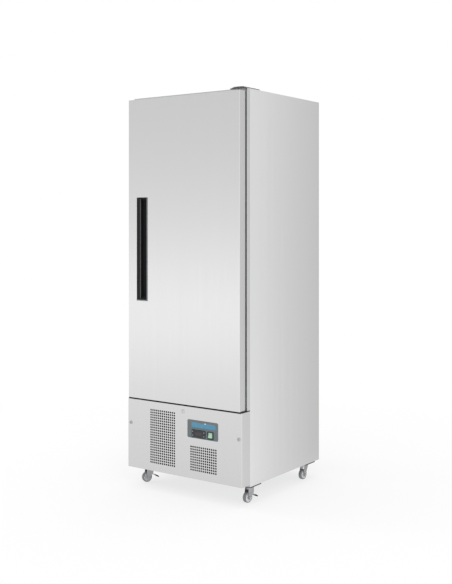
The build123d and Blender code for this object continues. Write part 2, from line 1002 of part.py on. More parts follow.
def hinge_bracket(low, pin_from, pin_to):
    """A plate bolted to the insulated box with a nose over the door's edge and a pin."""
    right = half_width - sheet
    back = frame_back - hinge_nose_length + hinge_plate_length - hinge_bolt_from_front
    nose_front = hinge_y - hinge_pin_radius * 2
    outline = [
        (right, nose_front + hinge_pin_radius),
        (right, back),
        (right - hinge_plate_width, back),
        (right - hinge_plate_width, frame_face),
        (right - hinge_nose_width, nose_front),
        (right - hinge_pin_radius, nose_front),
    ]
    with BuildPart() as bracket:
        with BuildSketch(Plane.XY.offset(low)):
            with BuildLine():
                Polyline(*outline, close=True)
            make_face()
            with Locations(*hinge_bolt_points()):
                Circle(hinge_bolt_hole_radius, mode=Mode.SUBTRACT)
        extrude(amount=hinge_plate)
        corners = bracket.edges().filter_by(Axis.Z).filter_by(GeomType.LINE).group_by(Axis.Y)[-1]
        fillet(corners, hinge_pin_radius)
        rod((hinge_x, hinge_y, pin_from), (hinge_x, hinge_y, pin_to), hinge_pin_radius)
    return bracket


def top_bracket():
    return hinge_bracket(casing_top, door_top - hinge_pin_length, casing_top)


def bottom_bracket():
    return hinge_bracket(box_bottom - hinge_plate, box_bottom, door_bottom + hinge_pin_length)


# Castors
race_bottom = castor_height - castor_plate - castor_race
fork_level = race_bottom - castor_race_gap
cheek_inner = wheel_hub_width / 2 + fork_side_clearance
cheek_outer = cheek_inner + fork_cheek


def swivel_plates():
    with BuildPart() as plates:
        for x, y in castor_places().values():
            with BuildSketch(Plane.XY.offset(castor_height - castor_plate)):
                with Locations((x, y)):
                    RectangleRounded(castor_plate_width, castor_plate_length, castor_plate_corner)
                    with GridLocations(castor_bolt_spacing_x, castor_bolt_spacing_y, 2, 2):
                        Circle(castor_bolt_hole_radius, mode=Mode.SUBTRACT)
            extrude(amount=castor_plate)
            race_top = castor_height - castor_plate
            rod((x, y, race_bottom), (x, y, race_top), castor_race_radius)
            pin_end = fork_level - fork_top - castor_race_gap
            rod((x, y, pin_end - king_pin_head), (x, y, race_bottom), king_pin_radius)
            rod((x, y, pin_end - king_pin_head), (x, y, pin_end), king_pin_head_radius)
    return plates


def castor_plane(name):
    """Level plane on the king pin's axis whose x axis points ahead of the castor."""
    x, y = castor_places()[name]
    angle = radians(castor_angles[name])
    return Plane(origin=(x, y, 0), x_dir=(cos(angle), sin(angle), 0), z_dir=(0, 0, 1))


def castor_side(name, across):
    """Upright plane along the castor: own x is ahead, own y is Z, set off across it."""
    base = castor_plane(name)
    origin = base.origin + base.y_dir * across
    return Plane(origin=origin, x_dir=base.x_dir, z_dir=-base.y_dir)


def has_brake(name):
    return name.startswith("front")


def castor_fork(name):
    with BuildPart() as fork:
        with BuildSketch(castor_plane(name).offset(fork_level - fork_top)):
            Circle(fork_top_radius)
            Circle(king_pin_radius + king_pin_clearance, mode=Mode.SUBTRACT)
        extrude(amount=fork_top)
        half_top = sqrt(fork_top_radius**2 - cheek_outer**2)
        for low, high in ((-cheek_outer, -cheek_inner), (cheek_inner, cheek_outer)):
            with BuildSketch(castor_side(name, high)):
                with Locations((0, fork_level - fork_top)):
                    Rectangle(2 * half_top, fork_top, align=(Align.CENTER, Align.MAX))
                with Locations((-castor_trail, wheel_radius)):
                    Circle(fork_axle_boss)
                if has_brake(name):
                    with Locations((brake_pivot_ahead, brake_pivot_height)):
                        Circle(brake_lug_radius)
                make_hull()
                with Locations((-castor_trail, wheel_radius)):
                    Circle(axle_radius + axle_clearance, mode=Mode.SUBTRACT)
                if has_brake(name):
                    with Locations((brake_pivot_ahead, brake_pivot_height)):
                        Circle(brake_pin_radius + brake_pin_clearance, mode=Mode.SUBTRACT)
            extrude(amount=high - low)
        head_seat = cheek_outer + axle_head_gap
        with BuildSketch(castor_side(name, head_seat + axle_head)):
            with Locations((-castor_trail, wheel_radius)):
                Circle(axle_radius)
        extrude(amount=2 * (head_seat + axle_head))
        for across in (head_seat + axle_head, -head_seat):
            with BuildSketch(castor_side(name, across)):
                with Locations((-castor_trail, wheel_radius)):
                    RegularPolygon(axle_head_radius, 6)
            extrude(amount=axle_head)
    return fork


def castor_wheel(name):
    """A moulded wheel with a dished web, turned about its axle."""
    side = castor_side(name, 0)
    axle = side.from_local_coords((-castor_trail, wheel_radius, 0))
    half = wheel_width / 2
    hub = wheel_hub_width / 2
    web = half - wheel_web_recess
    bore = axle_radius + axle_clearance
    corner = wheel_tread_corner
    profile = [
        (bore, hub),
        (wheel_hub_radius, hub),
        (wheel_hub_radius, web),
        (wheel_rim_radius, web),
        (wheel_rim_radius, half),
        (wheel_radius - corner / 2, half),
        (wheel_radius, half - corner),
    ]
    mirrored = [(r, -w) for r, w in reversed(profile)]
    section = Plane(origin=axle, x_dir=(0, 0, 1), z_dir=side.x_dir)
    with BuildPart() as wheel:
        with BuildSketch(section):
            with BuildLine():
                Polyline(*profile, *mirrored, close=True)
            make_face()
        revolve(axis=Axis(axle, side.z_dir))
    return wheel


def brake_pedal(name):
    """A pressed lever that turns on a pin between the fork's cheeks."""
    half = brake_width / 2
    eye = (brake_pivot_ahead, brake_pivot_height)
    with BuildPart() as pedal:
        with BuildSketch(castor_side(name, half)):
            with Locations(eye):
                Circle(brake_eye_radius)
            with Locations((brake_shoe_ahead, brake_shoe_height + brake_shoe_radius)):
                Circle(brake_shoe_radius)
            make_hull()
        extrude(amount=brake_width)
        with BuildSketch(castor_side(name, half)):
            with Locations((brake_shoe_ahead + brake_shoe_radius, brake_shoe_height + brake_shoe_radius)):
                Circle(brake_sheet / 2)
            with Locations((brake_reach - brake_sheet / 2, brake_tip_height)):
                Circle(brake_sheet / 2)
            make_hull()
        extrude(amount=brake_width)
        with BuildSketch(castor_side(name, cheek_outer)):
            with Locations(eye):
                Circle(brake_pin_radius)
        extrude(amount=2 * cheek_outer)
    return pedal


# Shelves
def wire_shelf(height):
    half_x = shelf_width / 2 - shelf_rod_radius
    half_y = shelf_depth / 2 - shelf_rod_radius
    wires = int(2 * half_x / shelf_wire_pitch) - 1
    with BuildPart() as shelf:
        for side in (-1, 1):
            rod((side * half_x, -half_y, height), (side * half_x, half_y, height), shelf_rod_radius)
            rod((-half_x, side * half_y, height), (half_x, side * half_y, height), shelf_rod_radius)
            for end in (-1, 1):
                with Locations((side * half_x, end * half_y, height)):
                    Sphere(shelf_rod_radius)
        for n in range(shelf_brace_count):
            y = -half_y + (n + 1) * 2 * half_y / (shelf_brace_count + 1)
            rod((-half_x, y, height), (half_x, y, height), shelf_rod_radius - shelf_wire_radius / 2)
        for n in range(wires):
            x = (n - (wires - 1) / 2) * shelf_wire_pitch
            level = height + shelf_wire_radius
            rod((x, -half_y, level), (x, half_y, level), shelf_wire_radius)
    return shelf


def pilaster_places():
    return [(side, side * cavity_half, y) for side in (-1, 1) for y in (-pilaster_y, pilaster_y)]


def pilasters():
    slots = int((pilaster_top - pilaster_bottom) / pilaster_slot_pitch) - 1
    middle = (pilaster_top + pilaster_bottom) / 2
    with BuildPart() as rails:
        for side, wall, y in pilaster_places():
            inner = wall - side * pilaster_depth
            cover = wall - side * (pilaster_depth - pilaster_sheet)
            z = (pilaster_bottom, pilaster_top)
            width = span(y, pilaster_width)
            block(tuple(sorted((inner, wall))), width, z)
            hollow = span(y, pilaster_width - 2 * pilaster_sheet)
            block(tuple(sorted((cover, wall))), hollow, z, mode=Mode.SUBTRACT)
            with BuildSketch(Plane.YZ.offset(min(inner, cover))):
                with Locations((y, middle)):
                    with GridLocations(pilaster_slot_pitch, pilaster_slot_pitch, 1, slots):
                        Rectangle(pilaster_slot_width, pilaster_slot_height)
            extrude(amount=pilaster_sheet, mode=Mode.SUBTRACT)
    return rails


def clips():
    """Bent clips on the pilasters; the shelf's side rods lie on their feet."""
    with BuildPart() as set_of_clips:
        for height in shelf_heights:
            seat = height - shelf_rod_radius - shelf_seat_clearance
            for side, wall, y in pilaster_places():
                root = wall - side * pilaster_depth
                back = root - side * clip_sheet
                tip = root - side * clip_length
                width = span(y, clip_width)
                block(tuple(sorted((root, tip))), width, (seat - clip_sheet, seat))
                block(tuple(sorted((root, back))), width, (seat - clip_height, seat))
    return set_of_clips


# Evaporator
def fan_guard_cut(y, centre_z, radius, rings, ring, spoke):
    """Cuts an opening in a front sheet but leaves a guard of rings and spokes."""
    with BuildSketch(front_plane(y + evaporator_sheet)) as gaps:
        with Locations((0, centre_z)):
            Circle(radius)
            for guard in rings:
                Circle(guard + ring, mode=Mode.SUBTRACT)
                Circle(guard, mode=Mode.ADD)
            Rectangle(2 * radius, spoke, mode=Mode.SUBTRACT)
            Rectangle(spoke, 2 * radius, mode=Mode.SUBTRACT)
    extrude(gaps.sketch, amount=evaporator_sheet, mode=Mode.SUBTRACT)


def evaporator_case():
    half = evaporator_width / 2
    with BuildPart() as case:
        depth = (evaporator_front_y, evaporator_back_y)
        block((-half, half), depth, (evaporator_bottom, cavity_ceiling))
        block(
            (-half + evaporator_sheet, half - evaporator_sheet),
            (evaporator_front_y + evaporator_sheet, evaporator_back_y),
            (evaporator_bottom + evaporator_sheet, cavity_ceiling),
            mode=Mode.SUBTRACT,
        )
        fan_guard_cut(
            evaporator_front_y,
            fan_axis_height,
            evaporator_fan_opening,
            sorted(evaporator_guard_rings, reverse=True),
            evaporator_guard_ring,
            evaporator_spoke,
        )
        spout_end = (drain_x, drain_outlet_y, evaporator_bottom)
        spout_start = (drain_x, drain_outlet_y, evaporator_bottom + evaporator_sheet)
        rod(spout_end, spout_start, drain_radius - sheet, Mode.SUBTRACT)
    return case


def finned_coil(x, y, z, fins):
    """A block of fins between two end plates; x, y and z are its ranges."""
    pitch = (x[1] - x[0] - fin_thickness) / (fins - 1)
    with BuildPart() as coil:
        for n in range(fins):
            left = x[0] + n * pitch
            block((left, left + fin_thickness), y, z)
        middle = (z[0] + z[1]) / 2
        centre_y = (y[0] + y[1]) / 2
        for row in range(-(bend_rows // 2), bend_rows // 2 + 1):
            level = middle + row * bend_spacing
            if z[0] + 2 * bend_radius < level < z[1] - 2 * bend_radius:
                rod((x[0], centre_y, level), (x[1], centre_y, level), bend_radius)
    return coil


def evaporator_block():
    return finned_coil(
        span(0, evaporator_coil_width),
        (evaporator_coil_front_y, evaporator_coil_back_y),
        (evaporator_bottom + evaporator_sheet, evaporator_bottom + evaporator_coil_height),
        evaporator_fins,
    )


def fan_rotor(x, y, z, hub_radius, hub_length, blade_radius, shaft_end):
    """Hub, pitched blades and a shaft stub that runs back into the motor."""
    blade = blade_radius - hub_radius + fan_blade_thickness
    middle = (hub_radius + blade_radius - fan_blade_thickness) / 2
    chord = hub_length / cos(radians(fan_blade_pitch))
    with BuildPart(Plane(origin=(x, y, z), x_dir=(1, 0, 0), z_dir=(0, 1, 0))) as rotor:
        Cylinder(hub_radius, hub_length)
        with PolarLocations(middle, fan_blades):
            Box(blade, chord, fan_blade_thickness, rotation=(fan_blade_pitch, 0, 0))
        rod((x, y, z), (x, shaft_end, z), fan_shaft_radius)
    return rotor


def fan_motor(x, front, z, radius, length, foot):
    """A motor can with a bored nose, standing on a bent bracket."""
    with BuildPart() as motor:
        rod((x, front, z), (x, front + length, z), radius)
        fillet(motor.faces().sort_by(Axis.Y)[-1].edges(), radius / 6)
        rod(
            (x, front, z),
            (x, front + fan_shaft_length, z),
            fan_shaft_radius + fan_shaft_clearance,
            Mode.SUBTRACT,
        )
        plate = span(front + length / 2, motor_bracket_sheet)
        block(span(x, motor_bracket_width), plate, (foot, z - radius / 2))
        foot_depth = span(front + length / 2, length)
        block(span(x, motor_bracket_width), foot_depth, (foot, foot + motor_bracket_sheet))
    return motor


evaporator_fan_y = evaporator_front_y + evaporator_sheet + evaporator_fan_gap + evaporator_hub_length / 2
evaporator_motor_y = evaporator_fan_y + evaporator_hub_length / 2 + evaporator_motor_gap
condenser_fan_y = condenser_back_y + condenser_end_margin + condenser_fan_gap + condenser_hub_length / 2
condenser_motor_y = condenser_fan_y + condenser_hub_length / 2 + condenser_motor_gap


def evaporator_rotor():
    return fan_rotor(
        0,
        evaporator_fan_y,
        fan_axis_height,
        evaporator_hub_radius,
        evaporator_hub_length,
        evaporator_blade_radius,
        evaporator_motor_y + fan_shaft_length - fan_shaft_radius,
    )


def evaporator_motor():
    return fan_motor(
        0,
        evaporator_motor_y,
        fan_axis_height,
        evaporator_motor_radius,
        evaporator_motor_length,
        evaporator_bottom + evaporator_sheet,
    )


# Machine compartment
def chassis():
    with BuildPart() as tray:
        x = (-half_width + sheet, half_width - sheet)
        y = (frame_back, rear_y - sheet)
        block(x, y, (casing_bottom, casing_bottom + chassis_flange))
        block(
            (x[0] + chassis_sheet, x[1] - chassis_sheet),
            (y[0] + chassis_sheet, y[1] - chassis_sheet),
            (chassis_top, casing_bottom + chassis_flange),
            mode=Mode.SUBTRACT,
        )
        for castor_x, castor_y in castor_places().values():
            with BuildSketch(Plane.XY.offset(casing_bottom)):
                with Locations((castor_x, castor_y)):
                    with GridLocations(castor_bolt_spacing_x, castor_bolt_spacing_y, 2, 2):
                        Circle(castor_bolt_hole_radius)
            extrude(amount=chassis_sheet, mode=Mode.SUBTRACT)
        inner = base_face + sheet
        for tab_x, tab_z in screw_points():
            width = span(tab_x, tab_width)
            low, high = span(tab_z, tab_width)
            block(width, (frame_back, frame_back + tab_sheet), (casing_bottom, high))
            block(width, (inner, frame_back + tab_sheet), (high - tab_sheet, high))
            block(width, (inner, inner + tab_sheet), (low, high))
            hole_end = (tab_x, inner + tab_sheet, tab_z)
            rod((tab_x, inner, tab_z), hole_end, screw_hole_radius, Mode.SUBTRACT)
    return tray


def compressor_can():
    with BuildPart() as can:
        centre = (compressor_x, compressor_y)
        base = (*centre, compressor_base)
        rod(base, (*centre, compressor_top), compressor_radius)
        fillet(can.edges().filter_by(GeomType.CIRCLE), compressor_round)
        feet = (compressor_base - compressor_feet, compressor_base + compressor_feet)
        block(
            span(compressor_x, compressor_feet_width),
            span(compressor_y, compressor_feet_depth),
            (feet[0], feet[0] + compressor_feet),
        )
        middle = (compressor_base + compressor_top) / 2
        rod((*centre, feet[0]), (*centre, middle), compressor_radius - compressor_round)
        edge = compressor_x + compressor_radius
        block(
            (compressor_x, edge + terminal_box_depth),
            span(compressor_y, terminal_box_width),
            span(middle + terminal_box_height / 4, terminal_box_height),
        )
    return can


def compressor_mount_points():
    dx = compressor_feet_width / 2 - compressor_mount_inset
    dy = compressor_feet_depth / 2 - compressor_mount_inset
    return [(compressor_x + i * dx, compressor_y + j * dy) for i in (-1, 1) for j in (-1, 1)]


def compressor_rubbers():
    with BuildPart() as mounts:
        with BuildSketch(Plane.XY.offset(chassis_top)):
            with Locations(*compressor_mount_points()):
                Circle(compressor_mount_radius)
        extrude(amount=compressor_base - compressor_feet - chassis_top)
    return mounts


condenser_x_span = span(condenser_x, condenser_width)
condenser_depth = (condenser_front_y, condenser_back_y)
condenser_levels = (condenser_bottom, condenser_bottom + condenser_height)


def condenser_block():
    coil = finned_coil(condenser_x_span, condenser_depth, condenser_levels, condenser_fins)
    margin = condenser_end_margin
    with BuildPart() as whole:
        add(coil.part)
        for edge, way in ((condenser_x_span[0], -1), (condenser_x_span[1], 1)):
            block(
                tuple(sorted((edge, edge + way * condenser_end_sheet))),
                (condenser_front_y - margin, condenser_back_y + margin),
                (chassis_top, condenser_levels[1] + margin),
            )
    return whole


def fan_shroud():
    margin = condenser_end_margin
    front = condenser_back_y + margin
    x = (condenser_x_span[0] - condenser_end_sheet, condenser_x_span[1] + condenser_end_sheet)
    with BuildPart() as shroud:
        block(x, (front, front + shroud_sheet), (chassis_top, condenser_levels[1] + margin))
        centre = (condenser_x, front, condenser_axis_height)
        duct_end = (condenser_x, front + shroud_duct, condenser_axis_height)
        rod(centre, duct_end, shroud_opening + shroud_sheet)
        rod(centre, duct_end, shroud_opening, Mode.SUBTRACT)
    return shroud


def condenser_rotor():
    return fan_rotor(
        condenser_x,
        condenser_fan_y,
        condenser_axis_height,
        condenser_hub_radius,
        condenser_hub_length,
        condenser_blade_radius,
        condenser_motor_y + fan_shaft_length - fan_shaft_radius,
    )


def condenser_motor():
    return fan_motor(
        condenser_x,
        condenser_motor_y,
        condenser_axis_height,
        condenser_motor_radius,
        condenser_motor_length,
        chassis_top,
    )


def pipe(points, radius):
    with BuildLine() as path:
        FilletPolyline(*points, radius=pipe_bend)
    with BuildSketch(Plane(origin=path.line @ 0, z_dir=path.line % 0)) as end_face:
        Circle(radius)
    sweep(end_face.sketch, path=path.line)


def pipework():
    """Suction and discharge lines and the evaporator's drain."""
    with BuildPart() as pipes:
        pipe(
            [
                (suction_x, evaporator_coil_back_y, suction_height),
                (suction_x, pipe_wall_y, suction_height),
                (suction_x, pipe_wall_y, suction_end_height),
                (suction_x, compressor_y + compressor_radius, suction_end_height),
            ],
            suction_radius,
        )
        pipe(
            [
                (compressor_x, compressor_y - compressor_radius, discharge_height),
                (compressor_x, condenser_motor_y + 2 * condenser_motor_length, discharge_height),
                (discharge_x, condenser_motor_y + 2 * condenser_motor_length, discharge_height),
                (discharge_x, (condenser_front_y + condenser_back_y) / 2, discharge_height),
                (
                    condenser_x_span[1] + condenser_end_sheet,
                    (condenser_front_y + condenser_back_y) / 2,
                    discharge_height,
                ),
            ],
            discharge_radius,
        )
        pipe(
            [
                (drain_x, drain_outlet_y, evaporator_bottom),
                (drain_x, drain_outlet_y, drain_turn_height),
                (drain_x, pipe_wall_y, drain_turn_height),
                (drain_x, pipe_wall_y, drain_end_height),
                (drain_x, tray_y + tray_depth / 4, drain_end_height),
                (drain_x, tray_y + tray_depth / 4, chassis_top + tray_height / 2),
            ],
            drain_radius,
        )
    return pipes


def water_tray():
    x = span(tray_x, tray_width)
    y = span(tray_y, tray_depth)
    with BuildPart() as tray:
        block(x, y, (chassis_top, chassis_top + tray_height))
        block(
            (x[0] + tray_wall, x[1] - tray_wall),
            (y[0] + tray_wall, y[1] - tray_wall),
            (chassis_top + tray_wall, chassis_top + tray_height),
            mode=Mode.SUBTRACT,
        )
    return tray


def rear_vents():
    with BuildPart() as panel:
        x = (-half_width + sheet, half_width - sheet)
        block(x, (rear_y - sheet, rear_y), (casing_bottom, box_bottom))
        middle = (casing_bottom + box_bottom) / 2
        with BuildSketch(front_plane(rear_y)):
            with Locations((0, middle + rear_vent_pitch)):
                grid = (rear_vent_column_pitch, rear_vent_pitch, rear_vent_columns, rear_vent_rows)
                with GridLocations(*grid):
                    SlotOverall(rear_vent_slot_length, rear_vent_slot_height)
            with Locations((gland_x, gland_z)):
                Circle(gland_thread_radius + cutout_clearance)
        extrude(amount=sheet, mode=Mode.SUBTRACT)
    return panel


def gland():
    """Cable entry: a flange outside, a nut inside and a bore for the supply cable."""
    with BuildPart() as entry:
        outside = (gland_x, rear_y + gland_flange, gland_z)
        inside = (gland_x, rear_y - gland_length, gland_z)
        rod((gland_x, rear_y, gland_z), outside, gland_flange_radius)
        rod((gland_x, rear_y, gland_z), inside, gland_thread_radius)
        with BuildSketch(front_plane(rear_y - sheet)):
            with Locations((gland_x, gland_z)):
                RegularPolygon(gland_nut_radius, 6)
        extrude(amount=gland_nut)
        rod(inside, outside, gland_bore_radius, Mode.SUBTRACT)
    return entry


# Cabinet
save(casing_side(-1), "left_side_panel")
save(casing_side(1), "right_side_panel")
save(top_sheet(), "top_panel")
save(rear_sheet(), "rear_panel")
save(bottom_sheet(), "bottom_panel")
save(insulation(), "cabinet_foam")
save(liner(), "inner_liner")
save(face_frame(), "front_frame")
save(base_panel(), "lower_front_panel")
save(fixings(), "fixing_screws")

# Lock and controls
save(lock_case(), "lock_body")
save(lock_plug(), "lock_barrel")
save(lock_tongue(), "lock_cam")
save(control_sheet(), "control_overlay")
save(controller_case(), "controller_body")
for number, (key_x, key_z) in enumerate(button_points(), start=1):
    save(key(key_x, key_z), f"controller_button_{number}")
save(switch_case(), "switch_housing")
save(rocker(), "switch_rocker")

# Door and hinges
save(door_shell(), "door_skin")
save(door_insulation(), "door_foam")
save(door_back_sheet(), "door_liner")
save(seal(), "door_gasket")
save(handle(), "handle_recess")
save(bushes(), "hinge_bushes")
save(top_bracket(), "top_hinge_bracket")
save(bottom_bracket(), "bottom_hinge_bracket")

# Castors
save(swivel_plates(), "castor_plates")
for corner_name in castor_places():
    save(castor_fork(corner_name), f"castor_fork_{corner_name}")
    save(castor_wheel(corner_name), f"castor_wheel_{corner_name}")
    if has_brake(corner_name):
        save(brake_pedal(corner_name), f"brake_pedal_{corner_name}")

# Inside the cavity
for number, shelf_height in enumerate(shelf_heights, start=1):
    save(wire_shelf(shelf_height), f"wire_shelf_{number}")
save(pilasters(), "shelf_pilasters")
save(clips(), "shelf_clips")
save(evaporator_case(), "evaporator_cover")
save(evaporator_block(), "evaporator_coil")
save(evaporator_motor(), "evaporator_fan_motor")
save(evaporator_rotor(), "evaporator_fan_blade")

# Machine compartment
save(chassis(), "base_chassis")
save(compressor_can(), "compressor")
save(compressor_rubbers(), "compressor_mounts")
save(condenser_block(), "condenser_coil")
save(fan_shroud(), "condenser_fan_shroud")
save(condenser_motor(), "condenser_fan_motor")
save(condenser_rotor(), "condenser_fan_blade")
save(pipework(), "pipework")
save(water_tray(), "condensate_tray")
save(rear_vents(), "rear_vent_panel")
save(gland(), "cable_gland")
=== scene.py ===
# Commercial upright freezer: finishes, fine parts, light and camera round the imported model.
# Metres, +Z up, the door faces -Y and is hinged on the +X side.
import json
import math
from fnmatch import fnmatch

import bmesh
import bpy
from mathutils import Matrix, Vector
from mathutils.bvhtree import BVHTree


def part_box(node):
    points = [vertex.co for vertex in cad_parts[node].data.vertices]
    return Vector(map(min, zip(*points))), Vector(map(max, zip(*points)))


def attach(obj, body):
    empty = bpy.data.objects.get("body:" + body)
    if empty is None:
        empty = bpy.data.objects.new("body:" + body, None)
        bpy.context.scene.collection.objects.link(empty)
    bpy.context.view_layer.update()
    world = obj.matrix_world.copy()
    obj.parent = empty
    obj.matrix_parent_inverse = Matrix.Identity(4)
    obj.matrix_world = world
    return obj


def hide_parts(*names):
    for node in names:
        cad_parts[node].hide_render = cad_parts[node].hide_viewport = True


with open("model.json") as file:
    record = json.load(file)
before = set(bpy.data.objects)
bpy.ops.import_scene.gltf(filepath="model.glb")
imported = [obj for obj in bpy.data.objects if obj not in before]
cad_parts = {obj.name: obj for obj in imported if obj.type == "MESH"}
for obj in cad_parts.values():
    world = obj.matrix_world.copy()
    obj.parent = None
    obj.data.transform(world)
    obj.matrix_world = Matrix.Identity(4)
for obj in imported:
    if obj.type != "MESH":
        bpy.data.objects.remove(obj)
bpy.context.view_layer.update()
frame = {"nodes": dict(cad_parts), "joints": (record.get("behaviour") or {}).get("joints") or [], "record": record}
nodes = frame["nodes"]

mm = 0.001
castors = ("front_left", "front_right", "rear_left", "rear_right")


# Small helpers for colours, nodes and materials

noise = "ShaderNodeTexNoise"
cells = "ShaderNodeTexVoronoi"
metal = {"Metallic": 1.0}
midField = (0.3, 0.7)  # nearly all of a noise's values lie between these


def linear(code):
    channels = [int(code[i:i + 2], 16) / 255 for i in (1, 3, 5)]
    return (*[c / 12.92 if c <= 0.04045 else ((c + 0.055) / 1.055) ** 2.4 for c in channels], 1.0)


def addNode(tree, kind, settings=None, values=None, links=None):
    node = tree.nodes.new(kind)
    for name, value in (settings or {}).items():
        setattr(node, name, value)
    for socket, value in (values or {}).items():
        node.inputs[socket].default_value = value
    for socket, source in (links or {}).items():
        tree.links.new(source, node.inputs[socket])
    return node


def newMaterial(name, values):
    material = bpy.data.materials.new(name)
    material.use_nodes = True
    tree = material.node_tree
    shader = tree.nodes["Principled BSDF"]
    for socket, value in values.items():
        shader.inputs[socket].default_value = value
    return material, tree, shader


def pattern(tree, kind, repeats, values):
    # What a texture gives on Object coordinates; repeats are counted per metre along X, Y and Z.
    place = addNode(tree, "ShaderNodeTexCoord")
    mapping = addNode(tree, "ShaderNodeMapping", values={"Scale": repeats},
                      links={"Vector": place.outputs["Object"]})
    return addNode(tree, kind, None, {"Scale": 1.0, **values}, {"Vector": mapping.outputs["Vector"]}).outputs


def between(low, high, fromLow=0.0, fromHigh=1.0):
    # The values with which a Map Range node carries one range over to another.
    return {"From Min": fromLow, "From Max": fromHigh, "To Min": low, "To Max": high}


def dress(tree, shader, light, dark, roughness, field, ends=midField, roughField=None,
          relief=None, reliefField=None):
    # As the field rises, the colour goes from light to dark and the roughness over its range.
    # Relief is the depth in metres and the strength of a bump.
    colour = addNode(tree, "ShaderNodeMix", {"data_type": "RGBA"}, {6: linear(light), 7: linear(dark)},
                     {0: field})
    rough = addNode(tree, "ShaderNodeMapRange", values=between(*roughness, *ends),
                    links={"Value": roughField or field})
    tree.links.new(colour.outputs[2], shader.inputs["Base Color"])
    tree.links.new(rough.outputs["Result"], shader.inputs["Roughness"])
    if relief:
        bump = addNode(tree, "ShaderNodeBump", values={"Distance": relief[0], "Strength": relief[1]},
                       links={"Height": reliefField or field})
        tree.links.new(bump.outputs["Normal"], shader.inputs["Normal"])


# Materials

def brushedSheet(name, light, dark, roughness, smear=0.0, relief=0.4, folds=None):
    # Stainless sheet, brushed along Z: soft reflections that smear one way.
    # The real grain is about 0.1 mm wide; it is drawn 1.5 mm wide so that it can show.
    grain, broader = (700, 700, 9), 22
    material, tree, shader = newMaterial(name, {**metal, "Anisotropic": 0.7, "Anisotropic Rotation": smear})
    fine = pattern(tree, noise, grain, {"Detail": 4.0, "Roughness": 0.6})["Fac"]
    broad = pattern(tree, noise, [axis / broader for axis in grain], {"Detail": 2.0})["Fac"]
    shares = [addNode(tree, "ShaderNodeMapRange", values=between(0.0, share, *midField),
                      links={"Value": field}).outputs["Result"]
              for field, share in ((fine, 0.6), (broad, 0.4))]
    both = addNode(tree, "ShaderNodeMath", {"operation": "ADD"}, links={0: shares[0], 1: shares[1]})
    dress(tree, shader, light, dark, (roughness - 0.08 * relief, roughness + 0.1 * relief),
          both.outputs["Value"], roughField=fine, relief=(0.00002, relief), reliefField=fine)
    if folds:
        # Narrow edges folded to the side get a darker colour, which is painted shade.
        place = addNode(tree, "ShaderNodeTexCoord")
        facing = addNode(tree, "ShaderNodeSeparateXYZ", links={0: place.outputs["Normal"]})
        aside = addNode(tree, "ShaderNodeMath", {"operation": "ABSOLUTE"}, links={0: facing.outputs["X"]})
        fold = addNode(tree, "ShaderNodeMapRange", values=between(0, 1, 0.85, 0.95),
                       links={"Value": aside.outputs[0]})
        colour = addNode(tree, "ShaderNodeMix", {"data_type": "RGBA"}, {7: linear(folds)},
                         {0: fold.outputs["Result"], 6: shader.inputs["Base Color"].links[0].from_socket})
        tree.links.new(colour.outputs[2], shader.inputs["Base Color"])
    direction = addNode(tree, "ShaderNodeTangent", {"direction_type": "RADIAL", "axis": "Z"})
    tree.links.new(direction.outputs["Tangent"], shader.inputs["Tangent"])
    return material


def galvanisedSheet():
    # Hot-dip zinc: crystals of slightly different grey, about 12 mm across.
    material, tree, shader = newMaterial("galvanisedSheet", metal)
    crystals = pattern(tree, cells, (85, 85, 85), {})
    grey = addNode(tree, "ShaderNodeSeparateColor", links={"Color": crystals["Color"]})
    dress(tree, shader, "#C6C8C9", "#B9BCBE", (0.38, 0.46), grey.outputs[0], (0, 1), grey.outputs[1])
    return material


def copperTube():
    # Drawn copper: warm and bright, tarnished browner in patches.
    material, tree, shader = newMaterial("drawnCopper", metal)
    tarnish = pattern(tree, noise, (35, 35, 35), {"Detail": 5.0})["Fac"]
    patches = addNode(tree, "ShaderNodeMapRange", values=between(0, 1, 0.35, 0.65), links={"Value": tarnish})
    dress(tree, shader, "#D69A7B", "#A8684A", (0.22, 0.42), patches.outputs["Result"], roughField=tarnish)
    return material


def mouldedPlastic(name, light, dark, roughness, grain=1400.0, depth=0.00006, gloss=0.5):
    # Injection-moulded plastic: faintly clouded, with a spark-eroded grain of about 0.7 mm.
    material, tree, shader = newMaterial(name, {"IOR": 1.49, "Specular IOR Level": gloss})
    pebbles = pattern(tree, noise, (grain, grain, grain), {"Detail": 2.0})["Fac"]
    cloud = pattern(tree, noise, (25, 25, 25), {"Detail": 3.0})["Fac"]
    dress(tree, shader, light, dark, (roughness - 0.05, roughness + 0.05), cloud,
          relief=(depth, 0.5), reliefField=pebbles)
    return material


def printedFilm(name, light, dark):
    # Back-printed polyester film: satin, with a faint velvet texture of 0.4 mm.
    material, tree, shader = newMaterial(name, {"IOR": 1.57, "Coat Weight": 0.25, "Coat Roughness": 0.25})
    velvet = pattern(tree, noise, (2500, 2500, 2500), {"Detail": 1.0})["Fac"]
    cloud = pattern(tree, noise, (30, 30, 55), {"Detail": 2.0})["Fac"]
    dress(tree, shader, light, dark, (0.38, 0.48), cloud, relief=(0.00002, 0.4), reliefField=velvet)
    return material


def foamCore():
    # Cut polyurethane foam: cream, with open cells about 1.5 mm across.
    material, tree, shader = newMaterial("polyurethaneFoam", {"IOR": 1.45})
    holes = pattern(tree, cells, (650, 650, 650), {})["Distance"]
    dress(tree, shader, "#E9DDB4", "#D3C28D", (0.8, 0.95), holes, (0, 1), relief=(0.0008, 0.6))
    return material


def clouded(name, values, repeats, detail, light, dark, roughness, relief=None, ends=midField):
    # A finish whose colour, roughness and relief follow one noise.
    material, tree, shader = newMaterial(name, values)
    field = pattern(tree, noise, repeats, {"Detail": detail})["Fac"]
    dress(tree, shader, light, dark, roughness, field, ends, relief=relief)
    return material


def zincPlate(name, light, dark):
    # Zinc plating on pressed steel: a little cloudy, with a fine pressed texture.
    return clouded(name, metal, (60, 60, 60), 5.0, light, dark, (0.22, 0.40), (0.0002, 0.3))


